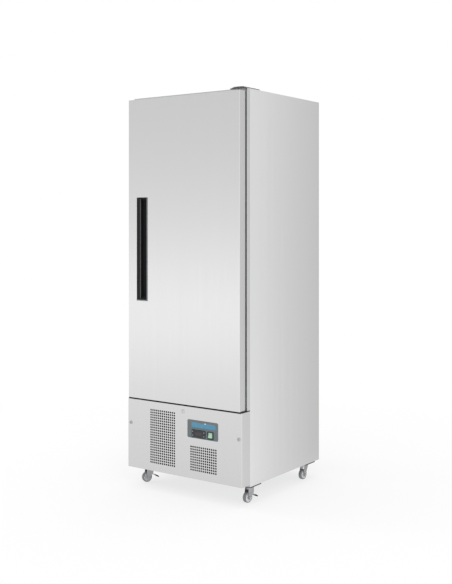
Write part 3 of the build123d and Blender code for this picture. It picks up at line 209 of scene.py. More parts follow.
def softRubber(name, light, dark, roughness):
    # Extruded rubber or soft PVC: matt, with a little bloom on the surface.
    return clouded(name, {"IOR": 1.52, "Sheen Weight": 0.15, "Sheen Roughness": 0.5}, (45, 45, 45), 4.0,
                   light, dark, (roughness - 0.06, roughness + 0.06), (0.0001, 0.3))


materials = {
    "doorSteel": brushedSheet("brushedStainlessDoor", "#E9E9E9", "#E6E6E6", 0.22),
    # The door's sides: brushed across, with a darker colour that is painted shade
    "shadedReturnSteel": brushedSheet("brushedStainlessReturnPaintedShade", "#CDCDCD", "#C8C8C8", 0.24, 0.25),
    "sideSteel": brushedSheet("brushedStainlessSide", "#E8E8E8", "#E4E4E4", 0.22, 0.25),
    # The base panel: finer than the door, with hardly any grain to see; its side folds are darker, as painted
    # shade
    "baseSteel": brushedSheet("brushedStainlessBase", "#E5E5E5", "#E4E4E4", 0.26, 0.0, 0.02, "#D2D2D2"),
    # Rolled stainless, 2B finish: greyer and blurrier than a brushed face, with no grain
    "rolledSteel": clouded("rolledStainless", metal, (9, 9, 9), 3.0, "#D6D7D7", "#CFD0D1", (0.34, 0.38),
                           ends=(0, 1)),
    "galvanised": galvanisedSheet(),
    "zinc": zincPlate("zincPlatedSteel", "#D2D3D4", "#B2B4B6"),
    "castorZinc": zincPlate("dullZincPlate", "#BEBFC0", "#9C9DA0"),
    "hingeSteel": zincPlate("greyZincPlate", "#8A8C8E", "#747678"),
    # Black zinc on the bottom hinge and the castor mounts: the darkness is painted shade, where they sit under the
    # door and the cabinet
    "shadeDarkSteel": zincPlate("blackZincPlatePaintedShade", "#37393B", "#292B2D"),
    # Polished chrome: sharp reflections, faintly handled
    "chrome": clouded("polishedChrome", metal, (120, 120, 120), 3.0, "#E3E4E6", "#D3D5D8", (0.08, 0.20)),
    # Rolled aluminium, as fins and fan blades come: pale, with fine rolling lines
    "aluminium": clouded("millAluminium", metal, (60, 60, 900), 3.0, "#DCDEE0", "#C6C9CC", (0.25, 0.40)),
    "copper": copperTube(),
    "blackPlastic": mouldedPlastic("blackAbs", "#1F1F21", "#161618", 0.42),
    # The handle's cup is dull: it hardly shines even where it faces the light
    "handlePlastic": mouldedPlastic("blackHandleAbs", "#2B2B2C", "#252526", 0.55, gloss=0.06),
    # Grey lip and bead round the handle's cup: a painted highlight of its edges catching the light
    "highlightTrimPlastic": mouldedPlastic("greyAbsPaintedHighlight", "#7A7C7E", "#6E7072", 0.45),
    "bezelPlastic": mouldedPlastic("charcoalAbs", "#33383B", "#292D30", 0.38),
    "keyPlastic": mouldedPlastic("greyAbs", "#6A6E71", "#5C6063", 0.40),
    "markPaint": mouldedPlastic("paleMarkInk", "#C9CDD0", "#B9BEC2", 0.45),
    "segment": mouldedPlastic("unlitSegment", "#56525A", "#4E4A52", 0.35),
    "switchPlastic": mouldedPlastic("darkGreenPolycarbonate", "#2F4539", "#24382D", 0.30),
    "nylon": mouldedPlastic("naturalNylon", "#E4E3DE", "#D8D7D1", 0.45),
    # The tread is cast, so its grain is coarser and shallower for its size than a moulding's
    "wheelTread": mouldedPlastic("greyPolyurethane", "#8D8F90", "#7C7E80", 0.30, 900.0, 0.0001),
    "wheelCore": mouldedPlastic("paleNylonCore", "#EDEDEE", "#E2E3E4", 0.35),
    "film": printedFilm("greyPrintedFilm", "#667176", "#5C676C"),
    "filmBand": printedFilm("bluePrintedFilm", "#4F93B3", "#437F9C"),
    "filmDot": printedFilm("palePrintedDot", "#E8F7FC", "#DCF2FA"),
    # Tinted polycarbonate over the display: dark and glossy, with the faintest scuffs
    "window": clouded("smokedPolycarbonate", {"IOR": 1.585}, (300, 300, 300), 4.0, "#3A363B", "#2C2A2E",
                      (0.10, 0.22)),
    # Clear green polycarbonate with a neon lamp behind it: pale and softly lit
    "rocker": clouded("litGreenPolycarbonate",
                      {"IOR": 1.585, "Coat Weight": 0.4, "Emission Color": linear("#9BD0A8"),
                       "Emission Strength": 0.18}, (90, 90, 90), 2.0, "#A6C3AE", "#8FB29A", (0.22, 0.34)),
    "gasket": softRubber("greySealPvc", "#8D9092", "#7E8183", 0.55),
    "rubber": softRubber("blackRubber", "#1E1E1F", "#141415", 0.62),
    # Black pads behind the base's holes: painted shade for the dark inside of the base
    "filter": softRubber("blackFilterFoamPaintedShade", "#131313", "#0B0B0B", 0.9),
    "foam": foamCore(),
    # Steel wire dipped in white plastic: soft gloss, a slightly uneven skin
    "wire": clouded("plasticCoatedWire", {"IOR": 1.5, "Coat Weight": 0.3}, (220, 220, 220), 2.0, "#F0F1F0",
                    "#E2E4E4", (0.25, 0.38), (0.0002, 0.3)),
    # Baked black enamel on the compressor: satin, with orange peel of about 2 mm
    "enamel": clouded("blackEnamel", {"IOR": 1.5, "Coat Weight": 0.5, "Coat Roughness": 0.15},
                      (480, 480, 480), 1.0, "#1B1C1E", "#101112", (0.30, 0.40), (0.0002, 0.35)),
}
print("materials:", len(materials))

finishNodes = {
    "sideSteel": ("left_side_panel", "right_side_panel", "top_panel"),
    "baseSteel": ("lower_front_panel",),
    "doorSteel": ("door_skin",),
    "rolledSteel": ("inner_liner", "front_frame", "door_liner", "shelf_pilasters", "evaporator_cover",
                    "condensate_tray"),
    "galvanised": ("rear_panel", "bottom_panel", "base_chassis", "condenser_fan_shroud", "rear_vent_panel"),
    "foam": ("cabinet_foam", "door_foam"),
    "zinc": ("fixing_screws", "lock_cam", "shelf_clips"),
    "castorZinc": ("castor_fork_*", "brake_pedal_*"),
    "hingeSteel": ("top_hinge_bracket",),
    "shadeDarkSteel": ("bottom_hinge_bracket", "castor_plates"),
    "chrome": ("lock_body", "lock_barrel"),
    "film": ("control_overlay",),
    "bezelPlastic": ("controller_body",),
    "keyPlastic": ("controller_button_*",),
    "switchPlastic": ("switch_housing",),
    "rocker": ("switch_rocker",),
    "gasket": ("door_gasket",),
    "handlePlastic": ("handle_recess",),
    "nylon": ("hinge_bushes",),
    "wire": ("wire_shelf_*",),
    "wheelTread": ("castor_wheel_*",),
    "aluminium": ("evaporator_coil", "condenser_coil", "condenser_fan_blade"),
    "blackPlastic": ("evaporator_fan_motor", "evaporator_fan_blade", "condenser_fan_motor", "cable_gland"),
    "copper": ("pipework",),
    "enamel": ("compressor",),
    "rubber": ("compressor_mounts",),
}
nodeFinish = {node: finish for finish, names in finishNodes.items() for node in nodes
              if any(fnmatch(node, name) for name in names)}
for node, surface in nodeFinish.items():
    nodes[node].data.materials.clear()
    nodes[node].data.materials.append(materials[surface])
bodyOf = {node: body for body, members in frame["record"]["behaviour"]["bodies"].items() for node in members}


# Building helpers: every shape is written in millimetres and stored in metres

sameSpot = 0.000002  # metres within which two corners count as one

def boxOf(node):
    # The node's lowest and highest corners in millimetres.
    return [Vector(corner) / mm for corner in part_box(node)]


def newObject(name, data):
    thing = bpy.data.objects.new(name, data)
    bpy.context.collection.objects.link(thing)
    return thing


def toPiece(name, form):
    mesh = bpy.data.meshes.new(name)
    form.to_mesh(mesh)
    form.free()
    return newObject(name, mesh)


def settle(piece):
    # Keeps what the modifiers make as plain mesh.
    graph = bpy.context.evaluated_depsgraph_get()
    mesh = bpy.data.meshes.new_from_object(piece.evaluated_get(graph), depsgraph=graph)
    piece.modifiers.clear()
    piece.data = mesh
    mesh.name = piece.name
    return piece


def shade(piece, angle=35):
    piece.data.shade_smooth()
    piece.data.set_sharp_from_angle(angle=math.radians(angle))
    return piece


def finish(piece, material, body, stands=()):
    # Gives a piece its material and its body, and hides the nodes it stands for.
    piece.data.materials.clear()
    piece.data.materials.append(materials[material])
    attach(piece, body)
    if stands:
        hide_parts(*stands)
    return piece


def soften(piece, width):
    # Rounds the edges that turn by more than 40 degrees.
    edge = piece.modifiers.new("edge", "BEVEL")
    edge.width = width * mm
    edge.segments = 2
    edge.limit_method = "ANGLE"
    edge.angle_limit = math.radians(40)
    flat = piece.modifiers.new("flat", "WEIGHTED_NORMAL")
    flat.keep_sharp = True
    return settle(piece)


def fromForm(name, form, material, body, stands=(), bevel=0.0, angle=35):
    # A finished piece from closed shapes; bevel is the width in millimetres taken off sharp edges.
    bmesh.ops.remove_doubles(form, verts=form.verts, dist=sameSpot)
    bmesh.ops.recalc_face_normals(form, faces=form.faces)
    piece = shade(toPiece(name, form), angle)
    if bevel:
        soften(piece, bevel)
    return finish(piece, material, body, stands)


def softNode(name, node, width):
    # A copy of a CAD node with its sharp edges rounded, which stands for the node.
    form = bmesh.new()
    form.from_mesh(nodes[node].data)
    bmesh.ops.remove_doubles(form, verts=form.verts, dist=sameSpot)
    bmesh.ops.dissolve_limit(form, angle_limit=math.radians(0.5), verts=form.verts, edges=form.edges)
    piece = soften(shade(toPiece(name, form), 30), width)
    return finish(piece, nodeFinish[node], bodyOf[node], (node,))


def softNodes(table):
    # The table gives each piece's node and the width in millimetres that its edges are rounded by.
    for name, (node, width) in table.items():
        softNode(name, node, width)


def addSkin(form, loops, closed=False):
    # Faces between rings of points; the ends are capped unless the rings close on themselves.
    rings = [[form.verts.new(Vector(point) * mm) for point in loop] for loop in loops]
    pairs = list(zip(rings, rings[1:])) + ([(rings[-1], rings[0])] if closed else [])
    for low, high in pairs:
        for i, corner in enumerate(low):
            j = (i + 1) % len(low)
            form.faces.new((corner, low[j], high[j], high[i]))
    if not closed:
        form.faces.new(rings[0][::-1])
        form.faces.new(rings[-1])


def along(axis, a, b, c):
    # Turns a point drawn round the Z axis to the axis asked for.
    return Vector({"X": (c, a, b), "Y": (b, c, a), "Z": (a, b, c)}[axis])


def circle(centre, radius, axis="Z", count=32):
    steps = [2 * math.pi * n / count for n in range(count)]
    return [Vector(centre) + along(axis, radius * math.cos(a), radius * math.sin(a), 0) for a in steps]


def addLathe(form, centre, axis, profile, count=32, closed=False):
    # A turned shape; the profile gives radius and distance along the axis from the centre.
    loops = [circle(Vector(centre) + along(axis, 0, 0, far), radius, axis, count) for radius, far in profile]
    addSkin(form, loops, closed)


def roundRect(centre, size, corner, level, axis="Y", steps=5):
    # A rounded rectangle: across X and Z at a y where the axis is Y, and across X and Y where it is Z.
    halves = (size[0] / 2 - corner, size[1] / 2 - corner)
    signs = ((1, 1), (-1, 1), (-1, -1), (1, -1))
    points = []
    for quarter, (a, b) in enumerate(signs):
        for n in range(steps + 1):
            turn = (quarter + n / steps) * math.pi / 2
            across = centre[0] + a * halves[0] + corner * math.cos(turn)
            up = centre[1] + b * halves[1] + corner * math.sin(turn)
            points.append((across, level, up) if axis == "Y" else (across, up, level))
    return points


def addPlate(form, centre, size, corner, low, high, edge, axis="Y"):
    # A flat plate with rounded corners and a small rounded edge on both faces.
    loops = []
    for level, cut in ((low, edge), (low + edge, 0), (high - edge, 0), (high, edge)):
        cutSize = (size[0] - 2 * cut, size[1] - 2 * cut)
        loops.append(roundRect(centre, cutSize, max(corner - cut, 0.05), level, axis))
    addSkin(form, loops)


def addBlock(form, x, y, z):
    loops = [[(x[0], y[0], level), (x[1], y[0], level), (x[1], y[1], level), (x[0], y[1], level)]
             for level in z]
    addSkin(form, loops)


def addFrame(form, centre, halves, profile):
    # A mitred frame across X and Z; the closed profile gives the inset from the frame's outside and y.
    signs = ((1, 1), (-1, 1), (-1, -1), (1, -1))
    loops = [[(centre[0] + i * (halves[0] - inset), y, centre[1] + j * (halves[1] - inset)) for i, j in signs]
             for inset, y in profile]
    addSkin(form, loops, closed=True)


def bentPath(points, bend, steps=6):
    # Straight runs whose corners are rounded off to the given radius.
    points = [Vector(point) for point in points]
    path = [points[0]]
    for before, corner, after in zip(points, points[1:], points[2:]):
        inward, outward = (before - corner).normalized(), (after - corner).normalized()
        reach = bend / math.tan(inward.angle(outward) / 2)
        start, end = corner + inward * reach, corner + outward * reach
        for n in range(steps + 1):
            t = n / steps
            path.append((1 - t) ** 2 * start + 2 * t * (1 - t) * corner + t ** 2 * end)
    return path + [points[-1]]


def addTube(form, path, radius, count=12, closed=False):
    # A round tube along a path; a closed path makes a ring.
    path = [Vector(point) for point in path]
    last = len(path) - 1
    side = (path[1] - path[0]).orthogonal().normalized()
    loops = []
    for n, point in enumerate(path):
        before = path[n - 1] if n or closed else point
        after = path[(n + 1) % len(path)] if n < last or closed else point
        ahead = (after - before).normalized()
        side = (side - ahead * side.dot(ahead)).normalized()
        other = ahead.cross(side)
        turns = [2 * math.pi * k / count for k in range(count)]
        loops.append([point + radius * (math.cos(a) * side + math.sin(a) * other) for a in turns])
    addSkin(form, loops, closed)


def cutAway(piece, form):
    # Cuts the closed shapes of the form out of the piece.
    bmesh.ops.recalc_face_normals(form, faces=form.faces)
    cutter = toPiece("cutter", form)
    cut = piece.modifiers.new("cut", "BOOLEAN")
    cut.operation = "DIFFERENCE"
    cut.object = cutter
    settle(piece)
    bpy.data.objects.remove(cutter)


def layOn(form, node):
    # Moves flat marks, drawn round y 0, straight back onto the front of a CAD node.
    mesh = nodes[node].data
    surface = BVHTree.FromPolygons([v.co for v in mesh.vertices], [face.vertices for face in mesh.polygons])
    for vert in form.verts:
        hit = surface.ray_cast(Vector((vert.co.x, -1, vert.co.z)), Vector((0, 1, 0)))[0]
        vert.co.y += hit.y


# Geometry Nodes: one tree for each way that something repeats

def newTree(name, sizes):
    tree = bpy.data.node_groups.new(name, "GeometryNodeTree")
    kinds = {int: "NodeSocketInt", float: "NodeSocketFloat", tuple: "NodeSocketVector"}
    tree.interface.new_socket("Shape", in_out="INPUT", socket_type="NodeSocketGeometry")
    for label, value in sizes.items():
        tree.interface.new_socket(label, in_out="INPUT", socket_type=kinds[type(value)])
    tree.interface.new_socket("Finish", in_out="INPUT", socket_type="NodeSocketMaterial")
    tree.interface.new_socket("Mesh", in_out="OUTPUT", socket_type="NodeSocketGeometry")
    return tree, addNode(tree, "NodeGroupInput").outputs


def endTree(tree, given, geometry):
    real = addNode(tree, "GeometryNodeRealizeInstances", links={0: geometry})
    painted = addNode(tree, "GeometryNodeSetMaterial",
                      links={"Geometry": real.outputs[0], "Material": given["Finish"]})
    addNode(tree, "NodeGroupOutput", links={0: painted.outputs[0]})
    return tree


def copyTo(tree, points, shape, turn):
    rotation = addNode(tree, "FunctionNodeEulerToRotation", links={0: turn})
    copies = addNode(tree, "GeometryNodeInstanceOnPoints",
                     links={"Points": points, "Instance": shape, "Rotation": rotation.outputs[0]})
    return copies.outputs[0]


def headsTree():
    # A domed screw or rivet head at every point of the shape.
    tree, given = newTree("heads", {"Size": (1.0, 1.0, 1.0), "Turn": (0.0, 0.0, 0.0)})
    ball = addNode(tree, "GeometryNodeMeshUVSphere", values={"Segments": 16, "Rings": 8, "Radius": 1.0})
    dome = addNode(tree, "GeometryNodeTransform", links={"Geometry": ball.outputs[0], "Scale": given["Size"]})
    return endTree(tree, given, copyTo(tree, given["Shape"], dome.outputs[0], given["Turn"]))


def rowTree(name, kind, values, sizes):
    # A row of one plain shape, whose sizes are inputs of the tree and sockets of the shape's node.
    tree, given = newTree(name, {"Count": 2, "First": (0.0, 0.0, 0.0), "Step": (1.0, 0.0, 0.0),
                                 "Turn": (0.0, 0.0, 0.0), **sizes})
    row = addNode(tree, "GeometryNodeMeshLine", {"mode": "OFFSET"},
                  links={"Count": given["Count"], "Start Location": given["First"], "Offset": given["Step"]})
    shape = addNode(tree, kind, None, values, {size: given[size] for size in sizes})
    return endTree(tree, given, copyTo(tree, row.outputs[0], shape.outputs[0], given["Turn"]))


def ringTree():
    # The shape copied round the Y axis.
    tree, given = newTree("ring", {"Count": 2})
    middle = addNode(tree, "GeometryNodeMeshLine", {"mode": "OFFSET"}, {"Offset": (0.0, 0.0, 0.0)},
                     {"Count": given["Count"]})
    step = addNode(tree, "ShaderNodeMath", {"operation": "DIVIDE"}, {0: 2 * math.pi}, {1: given["Count"]})
    number = addNode(tree, "GeometryNodeInputIndex")
    angle = addNode(tree, "ShaderNodeMath", {"operation": "MULTIPLY"},
                    links={0: number.outputs[0], 1: step.outputs[0]})
    turn = addNode(tree, "ShaderNodeCombineXYZ", links={"Y": angle.outputs[0]})
    return endTree(tree, given, copyTo(tree, middle.outputs[0], given["Shape"], turn.outputs[0]))


def arrayTree():
    # The shape in rows and columns.
    tree, given = newTree("array", {"Columns": 2, "Across": (1.0, 0.0, 0.0),
                                    "Rows": 2, "Up": (0.0, 0.0, 1.0)})
    still = addNode(tree, "ShaderNodeCombineXYZ").outputs[0]
    shape = given["Shape"]
    for count, step in (("Columns", "Across"), ("Rows", "Up")):
        row = addNode(tree, "GeometryNodeMeshLine", {"mode": "OFFSET"},
                      links={"Count": given[count], "Offset": given[step]})
        copies = copyTo(tree, row.outputs[0], shape, still)
        shape = addNode(tree, "GeometryNodeRealizeInstances", links={0: copies}).outputs[0]
    return endTree(tree, given, shape)


def guardTree():
    # Wire rings one inside the other, in the plane across Y.
    tree, given = newTree("guard", {"Count": 2, "Gap": 1.0, "Thickness": 1.0})
    middle = addNode(tree, "GeometryNodeMeshLine", {"mode": "OFFSET"}, {"Offset": (0.0, 0.0, 0.0)},
                     {"Count": given["Count"]})
    number = addNode(tree, "GeometryNodeInputIndex")
    place = addNode(tree, "ShaderNodeMath", {"operation": "ADD"}, {1: 1.0}, {0: number.outputs[0]})
    radius = addNode(tree, "ShaderNodeMath", {"operation": "MULTIPLY"},
                     links={0: place.outputs[0], 1: given["Gap"]})
    ring = addNode(tree, "GeometryNodeCurvePrimitiveCircle", values={"Resolution": 48, "Radius": 1.0})
    upright = addNode(tree, "GeometryNodeTransform", values={"Rotation": (math.pi / 2, 0.0, 0.0)},
                      links={"Geometry": ring.outputs[0]})
    rings = addNode(tree, "GeometryNodeInstanceOnPoints",
                    links={"Points": middle.outputs[0], "Instance": upright.outputs[0],
                           "Scale": radius.outputs[0]})
    real = addNode(tree, "GeometryNodeRealizeInstances", links={0: rings.outputs[0]})
    wire = addNode(tree, "GeometryNodeCurvePrimitiveCircle", values={"Resolution": 10},
                   links={"Radius": given["Thickness"]})
    swept = addNode(tree, "GeometryNodeCurveToMesh",
                    links={"Curve": real.outputs[0], "Profile Curve": wire.outputs[0]})
    return endTree(tree, given, swept.outputs[0])


trees = {
    "heads": headsTree(),
    "fins": rowTree("fins", "GeometryNodeMeshCube", {}, {"Size": (1.0, 1.0, 1.0)}),
    "rods": rowTree("rods", "GeometryNodeMeshCylinder", {"Vertices": 12}, {"Radius": 1.0, "Depth": 1.0}),
    "ring": ringTree(),
    "array": arrayTree(),
    "guard": guardTree(),
}
toY = (math.pi / 2, 0.0, 0.0)  # turns a shape that was drawn along Z


def grow(name, kind, sizes, material, body, shape=None, places=(), stands=(), move=None):
    # Runs a tree on a form, or on places, and keeps the result as plain mesh.
    mesh = bpy.data.meshes.new(name)
    if shape:
        bmesh.ops.recalc_face_normals(shape, faces=shape.faces)
        bmesh.ops.scale(shape, vec=Vector((1, 1, 1)) / mm, verts=shape.verts)
        shape.to_mesh(mesh)
        shape.free()
    else:
        mesh.from_pydata([tuple(place) for place in places], [], [])
    piece = newObject(name, mesh)
    modifier = piece.modifiers.new(name, "NODES")
    modifier.node_group = trees[kind]
    for socket in trees[kind].interface.items_tree:
        if socket.in_out == "INPUT" and socket.name in sizes:
            modifier[socket.identifier] = sizes[socket.name]
        if socket.name == "Finish":
            modifier[socket.identifier] = materials[material]
    settle(piece)
    piece.data.transform(Matrix.Scale(mm, 4) @ (move or Matrix()))
    return finish(shade(piece), material, body, stands)


# Door: folded sheet, inner pan, gasket and handle

door = {
    "halfWidth": 332.0,
    "bottom": 438.0,
    "top": 1895.0,
    "back": -305.0,
    "sheetEdge": 0.4,
    "cupEdge": 0.5,
    "panInset": 66.0,
    "panCorner": 28.0,
    "panRise": 3.6,
    # From the pan's edge inwards in millimetres, and how much of its rise is reached there
    "panSteps": [(0.0, -0.2), (0.0, 0.0), (1.5, 0.25), (3.5, 0.8), (5.0, 1.0), (27.0, 1.0), (31.0, 0.6),
                 (35.0, 0.6)],
}
doorMiddle = (door["bottom"] + door["top"]) / 2


def paintShadeOnFolds(piece):
    # The sides get a darker copy of the steel, which is painted shade; the top and bottom ends get black plastic,
    # a dark face painted in for the shade of the gaps at the door's ends.
    for material in ("shadedReturnSteel", "blackPlastic"):
        piece.data.materials.append(materials[material])
    for face in piece.data.polygons:
        if abs(face.normal.x) > 0.9:
            face.material_index = 1
        elif abs(face.normal.z) > 0.9:
            face.material_index = 2


paintShadeOnFolds(softNode("doorSheet", "door_skin", door["sheetEdge"]))
softNode("handleCup", "handle_recess", door["cupEdge"])

handle = {
    "left": -279.0,
    "right": -211.0,
    "bottom": 917.0,
    "top": 1417.0,
    "face": -351.2,
    "trimDrop": 3.0,
    "trimHeight": 5.0,
    "trimWidth": 4.8,
    "trimProud": 0.25,
    "bead": {"x": -258.4, "y": -348.3, "radius": 1.15, "z": (925.0, 1409.0)},
}


def addHandleTrim(h):
    # A grey lip along the foot and the right of the cup, and a thin grey bead down the grip: both are painted
    # highlight, where the cup's edges catch the light.
    form = bmesh.new()
    low = h["bottom"] - h["trimDrop"]
    lipTop, lipLeft = low + h["trimHeight"], h["right"] - h["trimWidth"]
    outline = [(h["left"], low), (h["right"], low), (h["right"], h["top"]), (lipLeft, h["top"]),
               (lipLeft, lipTop), (h["left"], lipTop)]
    addSkin(form, [[(x, y, z) for x, z in outline] for y in (h["face"] - h["trimProud"], h["face"] + 1.0)])
    fromForm("handleTrimHighlight", form, "highlightTrimPlastic", "door", bevel=0.2)
    bead = h["bead"]
    form = bmesh.new()
    addTube(form, [(bead["x"], bead["y"], z) for z in bead["z"]], bead["radius"])
    fromForm("gripBeadHighlight", form, "highlightTrimPlastic", "door", angle=50)


addHandleTrim(handle)


def addDoorPan(d):
    # The pressed inner panel, raised inside the gasket and stepped down again at its middle.
    form = bmesh.new()
    width = 2 * (d["halfWidth"] - d["panInset"])
    height = d["top"] - d["bottom"] - 2 * d["panInset"]
    addSkin(form, [roundRect((0, doorMiddle), (width - 2 * cut, height - 2 * cut), d["panCorner"] - cut * 0.6,
                             d["back"] + d["panRise"] * rise) for cut, rise in d["panSteps"]])
    fromForm("doorPan", form, "rolledSteel", "door", angle=50)


addDoorPan(door)

gasket = {
    "inset": 12.0,
    # Round the strip: inset, and distance from the door's back towards the cabinet. It has folds at
    # both sides, and a dart that sits in the door.
    "profile": [(0.3, 0.0), (0.0, 0.7), (1.6, 1.2), (0.7, 2.0), (0.9, 2.7), (2.0, 3.1), (1.4, 3.6),
                (1.6, 4.4), (2.2, 4.7), (13.8, 4.7), (14.4, 4.4), (14.6, 3.6), (14.0, 3.1), (15.1, 2.7),
                (15.3, 2.0), (14.4, 1.2), (16.0, 0.7), (15.7, 0.0), (9.8, 0.0), (9.6, -1.6), (9.0, -1.8),
                (7.0, -1.8), (6.4, -1.6), (6.2, 0.0)],
}


def addGasket(g):
    form = bmesh.new()
    halves = (door["halfWidth"] - g["inset"], (door["top"] - door["bottom"]) / 2 - g["inset"])
    addFrame(form, (0, doorMiddle), halves, [(inset, door["back"] + y) for inset, y in g["profile"]])
    fromForm("magneticGasket", form, "gasket", "door", ("door_gasket",), angle=60)


addGasket(gasket)
print("door: sheet, pan, gasket and handle")


# Base panel screws, hinge bolts and the lock

crossRecess = {"x": 322.0, "z": 313.0, "length": 9.4, "width": 1.7, "depth": 1.9, "face": -347.0}


def addScrews(c):
    # Screws and bolts, with a cross cut into the two screw heads of the base panel.
    screws = softNode("screwsAndBolts", "fixing_screws", 0.4)
    long, short = c["length"] / 2, c["width"] / 2
    cross = [(long, short), (short, short), (short, long), (-short, long), (-short, short), (-long, short)]
    cross += [(-a, -b) for a, b in cross]
    form = bmesh.new()
    for side in (-1, 1):
        addSkin(form, [[(side * c["x"] + a, level, c["z"] + b) for a, b in cross]
                       for level in (c["face"] - 1, c["face"] + c["depth"])])
    cutAway(screws, form)


addScrews(crossRecess)
softNodes({"lockCase": ("lock_body", 0.3), "lockPlug": ("lock_barrel", 0.25),
           "lockTongue": ("lock_cam", 0.4)})
print("screws and lock")


# Controls: printed film, controller with its keys and window, power switch

controls = {
    "filmFace": -344.6,
    "band": {"centre": (122.5, 349.0), "size": (139.0, 22.0), "corner": 4.0},
    "lamp": {"centre": (132.5, 359.0), "radius": 3.2, "height": 1.1},
    "window": {"centre": (95.0, 309.0), "size": (43.4, 19.4), "corner": 1.0, "back": -346.7, "front": -347.1},
    "digit": {"height": 11.0, "width": 6.0, "stroke": 0.9, "pitch": 9.6, "slant": 0.12},
    "mark": {"reach": 1.7, "stroke": 0.5, "proud": 0.12, "sunk": 0.1},
    "rockerBar": {"halfWidth": 0.5, "z": (4.2, 8.6)},
    "rockerRing": {"z": -6.4, "radius": 2.4, "stroke": 0.8},
}
corners = ((-1, -1), (1, -1), (1, 1), (-1, 1))


def addFilmPrints(c):
    # The blue band printed on the film, and the small pale lamp on it.
    band, lamp = c["band"], c["lamp"]
    form = bmesh.new()
    addPlate(form, band["centre"], band["size"], band["corner"], c["filmFace"] - 0.15, c["filmFace"] + 0.05,
             0.05)
    fromForm("statusBand", form, "filmBand", "cabinet")
    form = bmesh.new()
    profile = [(lamp["radius"], 0.3)]
    for a in (0, 0.35, 0.75, 1.15, 1.45):
        profile.append((lamp["radius"] * math.cos(a), -lamp["height"] * math.sin(a)))
    addLathe(form, (lamp["centre"][0], c["filmFace"] - 0.1, lamp["centre"][1]), "Y", profile, 24)
    fromForm("indicatorLamp", form, "filmDot", "cabinet", angle=50)


def addWindow(c):
    # The display's window, and the unlit bars of three figures that just show on it.
    w, digit = c["window"], c["digit"]
    form = bmesh.new()
    addPlate(form, w["centre"], w["size"], w["corner"], w["front"], w["back"], 0.12)
    fromForm("displayWindow", form, "window", "cabinet")
    form = bmesh.new()
    half, tall, stroke = digit["width"] / 2, digit["height"] / 2, digit["stroke"]
    bars = [(0, level * tall, half - stroke * 0.7, stroke / 2) for level in (-1, 0, 1)]
    bars += [(side * half, level * tall / 2, stroke / 2, tall / 2 - stroke * 0.7)
             for side in (-1, 1) for level in (-1, 1)]
    for n in (-1, 0, 1):
        for across, up, wide, high in bars:
            points = [(across + i * wide, up + j * high) for i, j in corners]
            addSkin(form, [[(w["centre"][0] + n * digit["pitch"] + a + digit["slant"] * b, y,
                             w["centre"][1] + b) for a, b in points]
                           for y in (w["front"] - 0.05, w["front"] + 0.05)])
    fromForm("displaySegments", form, "segment", "cabinet")


def addMark(name, node, shapes, mark):
    # Raised marks on a key or a rocker: each shape is a list of points across X and Z, or a ring.
    form = bmesh.new()
    for shape in shapes:
        if isinstance(shape, dict):
            x, z = shape["centre"]
            wide, narrow = shape["radius"], shape["radius"] - shape["stroke"]
            addLathe(form, (x, 0, z), "Y", [(wide, -mark["proud"]), (wide, mark["sunk"]),
                                            (narrow, mark["sunk"]), (narrow, -mark["proud"])], 24, True)
        else:
            addSkin(form, [[(x, y, z) for x, z in shape] for y in (-mark["proud"], mark["sunk"])])
    layOn(form, node)
    fromForm(name, form, "markPaint", bodyOf[node])


def bar(x, halfWidth, low, high):
    return [(x - halfWidth, low), (x + halfWidth, low), (x + halfWidth, high), (x - halfWidth, high)]


def keyShapes(number, x, z, mark):
    # An arrowhead up, an arrowhead down, a ring and an upright bar.
    reach = mark["reach"]
    if number in (1, 2):
        tip = reach if number == 1 else -reach
        return [[(x - reach, z - tip * 0.7), (x + reach, z - tip * 0.7), (x, z + tip)]]
    if number == 3:
        return [{"centre": (x, z), "radius": reach, "stroke": mark["stroke"]}]
    return [bar(x, 0.3, z - reach, z + reach)]


def addRockerMarks(c):
    low, high = boxOf("switch_rocker")
    x, z = ((low + high) / 2).xz
    up, ring = c["rockerBar"], c["rockerRing"]
    addMark("rockerMarks", "switch_rocker",
            [bar(x, up["halfWidth"], z + up["z"][0], z + up["z"][1]),
             {"centre": (x, z + ring["z"]), "radius": ring["radius"], "stroke": ring["stroke"]}], c["mark"])


addFilmPrints(controls)
softNode("controllerCase", "controller_body", 0.6)
addWindow(controls)
for number in range(1, 5):
    keyNode = f"controller_button_{number}"
    softNode(f"controllerKey_{number}", keyNode, 0.7)
    keyLow, keyHigh = boxOf(keyNode)
    keyX, keyZ = ((keyLow + keyHigh) / 2).xz
    addMark(f"keyMark_{number}", keyNode, keyShapes(number, keyX, keyZ, controls["mark"]), controls["mark"])
softNodes({"switchFrame": ("switch_housing", 0.6), "powerRocker": ("switch_rocker", 0.35)})
addRockerMarks(controls)
print("controls: film, controller, window, keys and switch")


# Filter pads that lie against the back of the base panel, behind its two fields of holes; their black is painted
# shade for the dark inside of the base

filters = {
    "fields": [{"centre": (-122.0, 263.0), "size": (166.0, 274.0)},
               {"centre": (122.0, 191.0), "size": (166.0, 130.0)}],
    "corner": 6.0,
    "front": -342.95,
    "thickness": 5.0,
}


def addFilters(f):
    form = bmesh.new()
    for field in f["fields"]:
        addPlate(form, field["centre"], field["size"], f["corner"], f["front"], f["front"] + f["thickness"],
                 0.6)
    fromForm("ventFiltersPaintedShade", form, "filter", "cabinet", angle=50)


addFilters(filters)

gapShadeStrip = {
    "left": -334.0,
    "right": 334.0,
    "hinge": 241.0,
    "front": -344.8,
    "back": -326.0,
    "hingeBack": -338.4,
    "z": (431.9, 437.0),
    "lip": 0.9,
    "lipFoot": 429.4,
}


